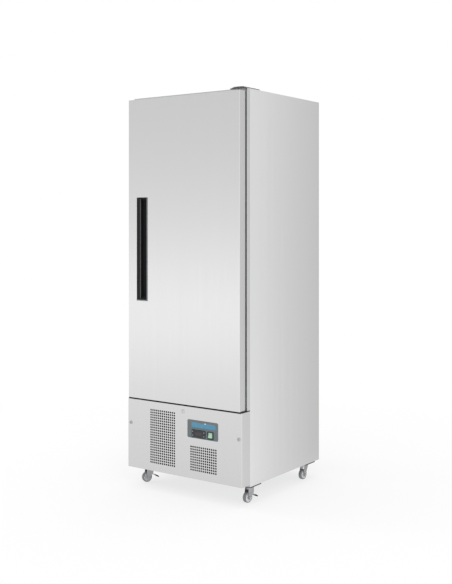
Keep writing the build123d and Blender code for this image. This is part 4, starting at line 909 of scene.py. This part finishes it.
def addGapShadeStrip(g):
    # A black rubber strip on the base's top edge under the door, put there as painted shade for the dark gap.
    form = bmesh.new()
    outline = [(g["left"], g["front"]), (g["right"], g["front"]), (g["right"], g["hingeBack"]),
               (g["hinge"], g["hingeBack"]), (g["hinge"], g["back"]), (g["left"], g["back"])]
    addSkin(form, [[(x, y, z) for x, y in outline] for z in g["z"]])
    addBlock(form, (g["left"], g["right"]), (g["front"], g["front"] + g["lip"]),
             (g["lipFoot"], g["z"][1] - 1))
    fromForm("gapShadeStrip", form, "rubber", "cabinet", bevel=0.4)


addGapShadeStrip(gapShadeStrip)
print("vent filters and gap strip")


# Hinges

# The bottom hinge takes the dark steel, painted shade in the gap under the door.
softNodes({"topHinge": ("top_hinge_bracket", 0.6), "bottomHinge": ("bottom_hinge_bracket", 0.6),
           "hingeBushes": ("hinge_bushes", 0.3)})


# Castors: pressed forks, moulded wheels with a tread, and brake pedals on the front pair

castor = {
    "trail": 15.0,
    "plate": (74.0, 92.0),
    "plateCorner": 6.0,
    "rim": {"thickness": 1.8, "z": (79.6, 82.6)},
    "seal": {"radius": 24.4, "thickness": 1.6, "z": (76.9, 82.0)},
    "wheelRadius": 25.0,
    # Half sections of the tread and the core: radius and distance from the middle of the wheel
    "tread": [(20.6, -8.6), (21.4, -9.0), (23.4, -8.7), (24.6, -7.2), (25.0, -5.0)],
    "core": [(4.2, -9.4), (4.8, -10.0), (7.4, -10.0), (8.0, -9.4), (8.4, -4.0), (18.7, -4.0), (19.2, -8.0),
             (20.6, -8.4)],
    "ribs": 6,
    "rib": {"from": 8.0, "to": 19.6, "halfWidth": 7.2, "thickness": 1.8},
    "lever": {"near": (16.7, 35.5), "far": (44.5, 20.0)},
    "pad": {"length": 21.0, "past": 3.2, "width": 20.0, "height": 5.4, "corner": 1.6, "edge": 0.8,
            "ribs": 4, "firstRib": 3.0, "pitch": 4.2,
            "ribProfile": [(0.4, -8.6), (0.9, -8.2), (0.9, 8.2), (0.4, 8.6)]},
}
joints = {joint["name"]: joint for joint in frame["joints"]}


def wholeSection(half):
    return half + [(radius, -far) for radius, far in reversed(half)]


def castorPlace(corner, ahead=0.0, up=0.0):
    # The castor's pin, turned so that its own X axis points ahead.
    pin = Vector(joints[f"swivel_{corner}"]["pos_m"]) / mm
    axle = joints[f"roll_{corner}"]["axis"]
    return (Matrix.Translation((pin.x, pin.y, 0)) @ Matrix.Rotation(math.atan2(-axle[0], axle[1]), 4, "Z")
            @ Matrix.Translation((ahead, 0, up)))


def carry(form, move):
    # Carries a form to its place; the move is in millimetres.
    toMetres = Matrix.Scale(mm, 4)
    bmesh.ops.transform(form, matrix=toMetres @ move @ toMetres.inverted(), verts=form.verts)


def addWheel(corner, c):
    move = castorPlace(corner, -c["trail"], c["wheelRadius"])
    body = f"wheel_{corner}"
    form = bmesh.new()
    addLathe(form, (0, 0, 0), "Y", wholeSection(c["tread"]), 64, True)
    carry(form, move)
    fromForm(f"wheelTread_{corner}", form, "wheelTread", body, (f"castor_wheel_{corner}",), angle=50)
    form = bmesh.new()
    addLathe(form, (0, 0, 0), "Y", wholeSection(c["core"]), 48, True)
    carry(form, move)
    fromForm(f"wheelCore_{corner}", form, "wheelCore", body, angle=40)
    rib = c["rib"]
    form = bmesh.new()
    addBlock(form, (rib["from"], rib["to"]), (-rib["halfWidth"], rib["halfWidth"]),
             (-rib["thickness"] / 2, rib["thickness"] / 2))
    grow(f"wheelRibs_{corner}", "ring", {"Count": c["ribs"]}, "wheelCore", body, form, move=move)


def addPedalPad(corner, c):
    # A ribbed black pad pushed over the end of the lever.
    lever, pad = c["lever"], c["pad"]
    near, far = Vector(lever["near"]), Vector(lever["far"])
    slope = (far - near).normalized()
    form = bmesh.new()
    loops = []
    for reach, cut in ((0.0, pad["edge"]), (pad["edge"], 0.0), (pad["length"] - pad["edge"], 0.0),
                       (pad["length"], pad["edge"])):
        size = (pad["width"] - 2 * cut, pad["height"] - 2 * cut)
        ring = roundRect((0, 0), size, pad["corner"] - cut * 0.9, 0, "Z", 3)
        loops.append([(reach, x, y) for x, y, z in ring])
    addSkin(form, loops)
    for n in range(pad["ribs"]):
        ahead = pad["length"] - pad["firstRib"] - n * pad["pitch"]
        addLathe(form, (ahead, 0, pad["height"] / 2 - 0.2), "Y", pad["ribProfile"], 10)
    start = far + slope * (pad["past"] - pad["length"])
    tilt = Matrix.Rotation(-math.atan2(slope.y, slope.x), 4, "Y")
    carry(form, castorPlace(corner, start.x, start.y) @ tilt)
    fromForm(f"pedalPad_{corner}", form, "rubber", f"pedal_{corner}", angle=50)


def addPlateRims(c):
    # The mounting plates' edges are turned down, dark as painted shade under the cabinet, and a dark seal closes
    # each ball race.
    form = bmesh.new()
    seals = bmesh.new()
    rim, seal = c["rim"], c["seal"]
    for corner in castors:
        pin = castorPlace(corner).translation
        loops = []
        for inset, level in ((0, rim["z"][0]), (0, rim["z"][1]), (rim["thickness"], rim["z"][1]),
                             (rim["thickness"], rim["z"][0])):
            size = [side - 2 * inset for side in c["plate"]]
            loops.append(roundRect((pin.x, pin.y), size, c["plateCorner"] - inset, level, "Z"))
        addSkin(form, loops, closed=True)
        wide, narrow = seal["radius"], seal["radius"] - seal["thickness"]
        profile = [(wide, seal["z"][0]), (wide, seal["z"][1]), (narrow, seal["z"][1]), (narrow, seal["z"][0])]
        addLathe(seals, (pin.x, pin.y, 0), "Z", profile, 40, True)
    fromForm("castorPlateRims", form, "shadeDarkSteel", "cabinet", bevel=0.3)
    fromForm("swivelSeals", seals, "rubber", "cabinet", bevel=0.3)


softNode("castorMounts", "castor_plates", 0.5)
for corner in castors:
    softNode(f"castorFork_{corner}", f"castor_fork_{corner}", 0.4)
    addWheel(corner, castor)
    if corner.startswith("front"):
        softNode(f"brakeLever_{corner}", f"brake_pedal_{corner}", 0.5)
        addPedalPad(corner, castor)
addPlateRims(castor)
print("castors")


# Cavity: liner tub with rounded corners, pilasters, clips and wire shelves

liner = {"sheet": 1.0, "cove": 15.0, "steps": 5}


def addLiner(l):
    low, high = boxOf("inner_liner")
    centre = (0, (low.z + high.z) / 2)
    size = (high.x - low.x, high.z - low.z)
    turns = [n / l["steps"] * math.pi / 2 for n in range(l["steps"] + 1)]
    loops = []
    for skin, order in ((l["sheet"], 1), (0.0, -1)):
        cove = l["cove"] - skin
        back = high.y - skin
        rings = [(skin + cove * (1 - math.sin(a)), back - cove * (1 - math.cos(a))) for a in turns]
        rings.append((skin, low.y))
        # The inside is coved; the outside stays square, so the rim fills the face frame's corners.
        loops += [roundRect(centre, (size[0] - 2 * cut, size[1] - 2 * cut),
                            max(cove - (cut - skin) * 0.9, 1.0) if skin else 1.0, y)
                  for cut, y in rings[::order]]
    form = bmesh.new()
    addSkin(form, loops)
    fromForm("linerTub", form, "rolledSteel", "cabinet", ("inner_liner",), angle=40)


addLiner(liner)
softNodes({"shelfPilasters": ("shelf_pilasters", 0.25), "shelfClips": ("shelf_clips", 0.4)})

shelf = {"rodRadius": 3.5, "wireRadius": 1.8, "pitch": 24.0, "braces": 3, "corner": 9.0}


def addShelf(number, s):
    node = f"wire_shelf_{number}"
    low, high = boxOf(node)
    level = low.z + s["rodRadius"]
    halfX, halfY = high.x - s["rodRadius"], high.y - s["rodRadius"]
    form = bmesh.new()
    rim = roundRect((0, 0), (2 * halfX, 2 * halfY), s["corner"], level, "Z", 5)
    addTube(form, rim, s["rodRadius"], 14, closed=True)
    for n in range(s["braces"]):
        y = -halfY + (n + 1) * 2 * halfY / (s["braces"] + 1)
        addTube(form, [(-halfX, y, level), (halfX, y, level)], s["rodRadius"] - s["wireRadius"] / 2)
    fromForm(f"shelfFrame_{number}", form, "wire", node, (node,), angle=50)
    count = int(2 * halfX / s["pitch"]) - 1
    grow(f"shelfWires_{number}", "rods", {
        "Count": count, "First": (-(count - 1) / 2 * s["pitch"], 0.0, level + s["wireRadius"]),
        "Step": (s["pitch"], 0.0, 0.0), "Radius": s["wireRadius"], "Depth": 2 * halfY, "Turn": toY},
        "wire", node)


for number in range(1, 4):
    addShelf(number, shelf)
print("cavity: liner, pilasters and shelves")


# Cooler at the top of the cavity, and the cooling unit under the floor

cooler = {
    "fanHeight": 1773.0,
    "guardRings": 6,
    "guardGap": 12.2,
    "guardWire": 1.1,
    "spokes": 4,
    "screwX": 236.0,
    "screwInset": 14.0,
    "screwHead": (4.2, 4.2, 2.2),
}
coils = {
    "evaporator_coil": {"name": "coolerCoil", "fins": 72, "columns": 3, "rows": 4, "tube": 4.8},
    "condenser_coil": {"name": "condenserCoil", "fins": 78, "columns": 2, "rows": 10, "tube": 4.0},
}
coilBuild = {"fin": 0.35, "margin": 2.0, "endPlate": 1.2, "tail": 3.0, "bendGap": 0.2}
fans = {
    "evaporator_fan_blade": {
        "name": "coolerFan", "centre": (0.0, -66.0, 1773.0), "hub": 18.0, "tip": 62.0, "length": 22.0,
        "chord": (20.0, 38.0), "pitch": (44.0, 24.0), "blades": 5, "finish": "blackPlastic"},
    "condenser_fan_blade": {
        "name": "condenserFan", "centre": (-146.0, -192.0, 246.0), "hub": 22.0, "tip": 98.0, "length": 28.0,
        "chord": (28.0, 62.0), "pitch": (42.0, 22.0), "blades": 5, "finish": "aluminium"},
}
blade = {"sections": 6, "around": 12, "root": 1.5, "tipShare": 0.82, "thickness": 0.9, "camber": 1.6}
# The hub's front: share of its radius and distance behind its nose
hubShape = {"dome": [(0.25, -0.5), (0.7, 0.6), (0.93, 2.6), (1.0, 6.0)], "wall": 3.0, "bore": 3.0,
            "shaft": 14.0}
compressor = {"centre": (-150.0, 150.0, 186.0), "seamRadius": 71.6, "seam": 2.0}


def addGuard(c):
    # Chromed wire rings and spokes in front of the cooler's fan, and the cover's four screws.
    low, high = boxOf("evaporator_cover")
    y = low.y - c["guardWire"]
    sizes = {"Count": c["guardRings"], "Gap": c["guardGap"], "Thickness": c["guardWire"]}
    grow("fanGuardRings", "guard", sizes, "chrome", "cabinet", places=[(0, 0, 0)],
         move=Matrix.Translation((0, y, c["fanHeight"])))
    reach = c["guardRings"] * c["guardGap"] + 2
    middle = Vector((0, y - 2 * c["guardWire"], c["fanHeight"]))
    form = bmesh.new()
    for n in range(c["spokes"]):
        a = math.pi * (n + 0.5) / c["spokes"]
        tip = Vector((reach * math.cos(a), 0, reach * math.sin(a)))
        addTube(form, [middle - tip, middle + tip], c["guardWire"] * 1.2, 10)
    fromForm("fanGuardSpokes", form, "chrome", "cabinet", angle=50)
    screws = [(i * c["screwX"], low.y, z) for i in (-1, 1)
              for z in (low.z + c["screwInset"], high.z - c["screwInset"])]
    grow("coolerScrews", "heads", {"Size": c["screwHead"], "Turn": toY}, "zinc", "cabinet", places=screws)


def addCoil(node, c, b):
    # Thin fins on serpentine tubes, whose bends stand out past the end plates.
    low, high = boxOf(node)
    size = high - low
    middle = (low + high) / 2
    grow(c["name"] + "Fins", "fins", {
        "Count": c["fins"], "First": (low.x + b["margin"], middle.y, middle.z),
        "Step": ((size.x - 2 * b["margin"]) / (c["fins"] - 1), 0.0, 0.0),
        "Size": (b["fin"], size.y - 1, size.z - 1)},
        "aluminium", "cabinet", places=[(0, 0, 0)], stands=(node,))
    form = bmesh.new()
    for end in (low.x, high.x - b["endPlate"]):
        addBlock(form, (end, end + b["endPlate"]), (low.y, high.y), (low.z, high.z))
    fromForm(c["name"] + "Ends", form, "galvanised", "cabinet")
    rise = size.z / c["rows"]
    form = bmesh.new()
    for column in range(c["columns"]):
        y = low.y + (column + 0.5) * size.y / c["columns"]
        points = []
        for row in range(c["rows"]):
            z = low.z + (row + 0.5) * rise
            ends = [(low.x - rise / 2, y, z), (high.x + rise / 2, y, z)]
            points += ends if row % 2 == 0 else ends[::-1]
        points[0] = (low.x - b["tail"], y, points[0][2])
        points[-1] = (low.x - b["tail"] if c["rows"] % 2 == 0 else high.x + b["tail"], y, points[-1][2])
        addTube(form, bentPath(points, rise / 2 - b["bendGap"]), c["tube"])
    fromForm(c["name"] + "Tubes", form, "copper", "cabinet", angle=60)


def addFan(node, f, b, h):
    # Twisted blades on a domed hub: wider and flatter towards the tip.
    form = bmesh.new()
    loops = []
    for n in range(b["sections"] + 1):
        t = n / b["sections"]
        radius = f["hub"] - b["root"] + t * (f["tip"] - f["hub"] + b["root"])
        chord = f["chord"][0] + t * (f["chord"][1] - f["chord"][0])
        chord *= 1.0 if t < 1 else b["tipShare"]
        pitch = math.radians(f["pitch"][0] + t * (f["pitch"][1] - f["pitch"][0]))
        loop = []
        for k in range(b["around"]):
            a = 2 * math.pi * k / b["around"]
            across = chord / 2 * math.cos(a)
            thick = b["thickness"] * math.sin(a) + b["camber"] * (0.5 - math.cos(a) ** 2)
            depth = across * math.sin(pitch) + thick * math.cos(pitch)
            swing = (across * math.cos(pitch) - thick * math.sin(pitch)) / radius
            loop.append((radius * math.cos(swing), depth, radius * math.sin(swing)))
        loops.append(loop)
    addSkin(form, loops)
    move = Matrix.Translation(f["centre"])
    grow(f["name"] + "Blades", "ring", {"Count": f["blades"]}, f["finish"], bodyOf[node], form, move=move)
    half, hub = f["length"] / 2, f["hub"]
    profile = [(hub * share, behind - half) for share, behind in h["dome"]]
    profile += [(hub, half), (hub - h["wall"], half), (h["bore"], half), (h["bore"], half + h["shaft"])]
    form = bmesh.new()
    addLathe(form, f["centre"], "Y", profile, 40)
    fromForm(f["name"] + "Hub", form, "blackPlastic", bodyOf[node], (node,), angle=40)


softNode("coolerCover", "evaporator_cover", 0.6)
addGuard(cooler)
for node, sizes in coils.items():
    addCoil(node, sizes, coilBuild)
for node, sizes in fans.items():
    addFan(node, sizes, blade, hubShape)
softNodes({"coolerMotor": ("evaporator_fan_motor", 0.8), "condenserMotor": ("condenser_fan_motor", 0.8),
           "fanShroud": ("condenser_fan_shroud", 0.5), "compressorCan": ("compressor", 1.2)})


def addSeam(c):
    # The weld bead where the two halves of the can meet.
    form = bmesh.new()
    addTube(form, circle(c["centre"], c["seamRadius"], "Z", 64), c["seam"], 8, closed=True)
    fromForm("compressorSeam", form, "enamel", "cabinet", angle=60)


addSeam(compressor)
softNode("waterTray", "condensate_tray", 0.4)
print("cooling unit")


# Back: louvred panel, pressed ribs, rivets and the cable gland

rear = {
    "face": 350.0,
    "ribX": (-160.0, 160.0),
    "ribSize": (26.0, 1180.0),
    "ribCentre": 1180.0,
    "ribHeight": 1.6,
    # Inwards from the rib's edge, and how much of its height is reached there
    "ribSteps": [(0.0, -0.2), (0.0, 0.0), (3.0, 0.5), (6.0, 1.0), (9.0, 1.0)],
    "rivetX": 330.0,
    "rivetFirst": 110.0,
    "rivetPitch": 146.0,
    "rivets": 13,
    "rivetHead": (4.0, 4.0, 1.7),
}
louvre = {
    "length": 172.0,
    "height": 9.0,
    "proud": 4.0,
    "sheet": 0.8,
    # Along the hood from end to end, and how far it stands out there
    "ends": [(-1.0, 0.0), (-0.97, 0.6), (-0.93, 1.0), (0.93, 1.0), (0.97, 0.6), (1.0, 0.0)],
    # Over the hood and back under its sheet: shares of the height and of the swell
    "outside": [(0.5, 0.0), (0.42, 0.55), (0.1, 0.92), (-0.3, 1.0)],
    "inside": [(-0.3, 1.0), (0.1, 0.92)],
    "foot": 0.34,
    "columns": 3,
    "columnPitch": 200.0,
    "rows": 10,
    "rowPitch": 24.0,
    "centre": 288.0,
}


def addBack(r):
    form = bmesh.new()
    wide, tall = r["ribSize"]
    for x in r["ribX"]:
        addSkin(form, [roundRect((x, r["ribCentre"]), (wide - 2 * cut, tall - 2 * cut), wide / 2 - cut - 0.5,
                                 r["face"] + r["ribHeight"] * rise, "Y", 8) for cut, rise in r["ribSteps"]])
    fromForm("rearRibs", form, "galvanised", "cabinet", angle=60)
    rivets = [(side * r["rivetX"], r["face"], r["rivetFirst"] + n * r["rivetPitch"])
              for side in (-1, 1) for n in range(r["rivets"])]
    grow("rearRivets", "heads", {"Size": r["rivetHead"], "Turn": toY}, "zinc", "cabinet", places=rivets)


def addLouvres(l):
    # Pressed hoods over the slots, open downwards.
    form = bmesh.new()
    loops = []
    for across, swell in l["ends"]:
        out = l["proud"] * max(swell, 0.05)
        arc = [(l["height"] * up, out * share) for up, share in l["outside"]]
        arc += [(l["height"] * up, out * share - l["sheet"]) for up, share in l["inside"]]
        arc.append((l["height"] * l["foot"], 0.0))
        loops.append([(across * l["length"] / 2, max(y, 0.0), z) for z, y in arc])
    addSkin(form, loops)
    first = Matrix.Translation((-(l["columns"] - 1) / 2 * l["columnPitch"], rear["face"],
                                l["centre"] - (l["rows"] - 1) / 2 * l["rowPitch"]))
    grow("rearLouvres", "array", {"Columns": l["columns"], "Across": (l["columnPitch"], 0.0, 0.0),
                                  "Rows": l["rows"], "Up": (0.0, 0.0, l["rowPitch"])},
         "galvanised", "cabinet", form, move=first)


addBack(rear)
addLouvres(louvre)
softNode("cableGland", "cable_gland", 0.4)
print("back")


# Camera: the photograph's place, level, with the frame moved down over the object

camera = {
    "place": (2.761, -3.869, 1.295),
    "turn": 35.45,
    "lens": 58.4,
    "shiftY": -0.119,
}


def addCamera(c):
    data = bpy.data.cameras.new("camera")
    data.sensor_width = 36.0
    data.lens = c["lens"]
    data.shift_y = c["shiftY"]
    data.clip_end = 100.0
    holder = newObject("camera", data)
    holder.location = c["place"]
    holder.rotation_euler = (math.radians(90), 0, math.radians(c["turn"]))
    bpy.context.scene.camera = holder


addCamera(camera)


# Studio: a white sweep, an even sky and three soft boxes

studio = {
    "floorSize": 60.0,
    "shadowNear": 0.30,
    "shadowReach": (0.7, 2.4),
    # What bare metal mirrors: the floor's glow by distance in metres, the sky's by height
    "halfway": 5.0,
    "floorGlow": [(0.4, 0.79), (1.0, 0.84), (3.2, 0.90), (9.0, 1.10), (27.0, 1.0), (200.0, 0.91)],
    "skyGlow": [(-0.05, 0.97), (0.0, 0.87), (0.05, 0.79), (0.12, 0.73), (0.35, 0.70), (1.0, 0.85)],
    "skyLight": 0.85,
    "sideFrom": 0.5,
    "sideGlow": [(0.5, 1.0), (0.78, 1.08), (0.825, 0.98), (0.84, 0.84), (0.868, 0.63), (0.92, 0.45),
                 (1.0, 0.45)],
    # The camera's mirror image in the right side, from where the floor's glow on that side fans out
    "mirroredCamera": (-2.081, -3.869, 0.0),
    "rightOf": (2.3, 2.7),
}
white = {"Color": (1, 1, 1, 1)}


def ramp(tree, factor, stops):
    # A grey that follows the stops, each a place from 0 to 1 and a brightness.
    node = addNode(tree, "ShaderNodeValToRGB", links={"Fac": factor})
    elements = node.color_ramp.elements
    while len(elements) < len(stops):
        elements.new(0.5)
    for element, (where, level) in zip(elements, stops):
        element.position = where
        element.color = (level, level, level, 1)
    return node.outputs["Color"]


def roomGlow(tree, place, reach, glow, s):
    # To the left the glow given holds; on the right it only falls off towards the back.
    parts = addNode(tree, "ShaderNodeSeparateXYZ", links={0: place})
    flat = addNode(tree, "ShaderNodeCombineXYZ", links={"X": parts.outputs["X"], "Y": parts.outputs["Y"]})
    level = addNode(tree, "ShaderNodeVectorMath", {"operation": "NORMALIZE"}, links={0: flat.outputs[0]})
    ahead = addNode(tree, "ShaderNodeSeparateXYZ", links={0: level.outputs[0]})
    share = addNode(tree, "ShaderNodeMapRange", values=between(0, 1, s["sideFrom"], 1),
                    links={"Value": ahead.outputs["Y"]})
    stops = [((y - s["sideFrom"]) / (1 - s["sideFrom"]), bright) for y, bright in s["sideGlow"]]
    right = addNode(tree, "ShaderNodeMapRange", values=between(0, 1, *reach),
                    links={"Value": parts.outputs["X"]})
    mix = addNode(tree, "ShaderNodeMix", {"data_type": "FLOAT"},
                  links={0: right.outputs["Result"], 2: glow, 3: ramp(tree, share.outputs["Result"], stops)})
    return mix.outputs[0]


def sortRays(tree, lit, mirrored, seen):
    # The object is lit by one shader, mirrors or refracts another, and the camera sees a third.
    rays = addNode(tree, "ShaderNodeLightPath").outputs
    mirroring = addNode(tree, "ShaderNodeMath", {"operation": "MAXIMUM"},
                        links={0: rays["Is Glossy Ray"], 1: rays["Is Transmission Ray"]})
    bounced = addNode(tree, "ShaderNodeMixShader", links={0: mirroring.outputs[0], 1: lit, 2: mirrored})
    whole = addNode(tree, "ShaderNodeMixShader",
                    links={0: rays["Is Camera Ray"], 1: bounced.outputs[0], 2: seen})
    return whole.outputs[0]


def addFloor(s):
    mesh = bpy.data.meshes.new("studioFloor")
    half = s["floorSize"] / 2
    mesh.from_pydata([(-half, -half, 0), (half, -half, 0), (half, half, 0), (-half, half, 0)], [],
                     [(0, 1, 2, 3)])
    material, tree, shader = newMaterial("paintedFloor", {"Roughness": 0.9, "Base Color": linear("#F2F2F2")})
    mesh.materials.append(material)
    place = addNode(tree, "ShaderNodeTexCoord").outputs["Object"]
    away = addNode(tree, "ShaderNodeVectorMath", {"operation": "LENGTH"}, links={0: place}).outputs["Value"]
    beyond = addNode(tree, "ShaderNodeMath", {"operation": "ADD"}, {1: s["halfway"]}, {0: away})
    share = addNode(tree, "ShaderNodeMath", {"operation": "DIVIDE"}, links={0: away, 1: beyond.outputs[0]})
    stops = [(metres / (metres + s["halfway"]), level) for metres, level in s["floorGlow"]]
    centred = addNode(tree, "ShaderNodeVectorMath", {"operation": "SUBTRACT"}, {1: s["mirroredCamera"]},
                      {0: place})
    bright = roomGlow(tree, centred.outputs[0], s["rightOf"], ramp(tree, share.outputs[0], stops), s)
    glow = addNode(tree, "ShaderNodeEmission", values=white, links={"Strength": bright})
    plain = addNode(tree, "ShaderNodeEmission", values={**white, "Strength": 1.0})
    # The camera sees mostly white, with a share of the paint and its shadow near the object.
    whiteness = addNode(tree, "ShaderNodeMapRange", links={"Value": away},
                        values=between(1 - s["shadowNear"], 1.0, *s["shadowReach"]))
    seen = addNode(tree, "ShaderNodeMixShader",
                   links={0: whiteness.outputs[0], 1: shader.outputs["BSDF"], 2: plain.outputs[0]})
    whole = sortRays(tree, shader.outputs["BSDF"], glow.outputs[0], seen.outputs[0])
    tree.links.new(whole, tree.nodes["Material Output"].inputs["Surface"])
    newObject("studioFloor", mesh)


def addSky(s):
    world = bpy.data.worlds.new("studioSky")
    bpy.context.scene.world = world
    world.use_nodes = True
    tree = world.node_tree
    tree.nodes.clear()
    place = addNode(tree, "ShaderNodeTexCoord").outputs["Generated"]
    parts = addNode(tree, "ShaderNodeSeparateXYZ", links={0: place})
    lowest = s["skyGlow"][0][0]
    height = addNode(tree, "ShaderNodeMapRange", values=between(0, 1, lowest, 1),
                     links={"Value": parts.outputs["Z"]})
    stops = [((z - lowest) / (1 - lowest), level) for z, level in s["skyGlow"]]
    bright = roomGlow(tree, place, (0.0, 0.3), ramp(tree, height.outputs["Result"], stops), s)
    mirrored = addNode(tree, "ShaderNodeBackground", values=white, links={"Strength": bright})
    light = addNode(tree, "ShaderNodeBackground", values={**white, "Strength": s["skyLight"]})
    seen = addNode(tree, "ShaderNodeBackground", values={**white, "Strength": 1.0})
    whole = sortRays(tree, light.outputs[0], mirrored.outputs[0], seen.outputs[0])
    output = addNode(tree, "ShaderNodeOutputWorld", links={"Surface": whole})
    output.is_active_output = True


softBoxes = {
    "keyRight": {"place": (3.6, -3.2, 3.2), "aim": (0, 0, 1.0), "size": (1.6, 1.6), "power": 45},
    "fillLeft": {"place": (-3.4, -1.0, 2.6), "aim": (-0.3, 0, 1.0), "size": (1.4, 2.0), "power": 30},
    "top": {"place": (0.2, 0.2, 4.2), "aim": (0, 0, 0), "size": (2.5, 2.5), "power": 30},
}


def addSoftBox(name, box):
    data = bpy.data.lights.new(name, "AREA")
    data.shape = "RECTANGLE"
    data.size, data.size_y = box["size"]
    data.energy = box["power"]
    lamp = newObject(name, data)
    lamp.location = box["place"]
    aim = Vector(box["aim"]) - Vector(box["place"])
    lamp.rotation_euler = aim.to_track_quat("-Z", "Y").to_euler()
    lamp.visible_glossy = False


addFloor(studio)
addSky(studio)
for boxName, box in softBoxes.items():
    addSoftBox(boxName, box)
bpy.context.scene.view_settings.view_transform = "Standard"
print("camera, floor, sky and", len(softBoxes), "soft boxes")
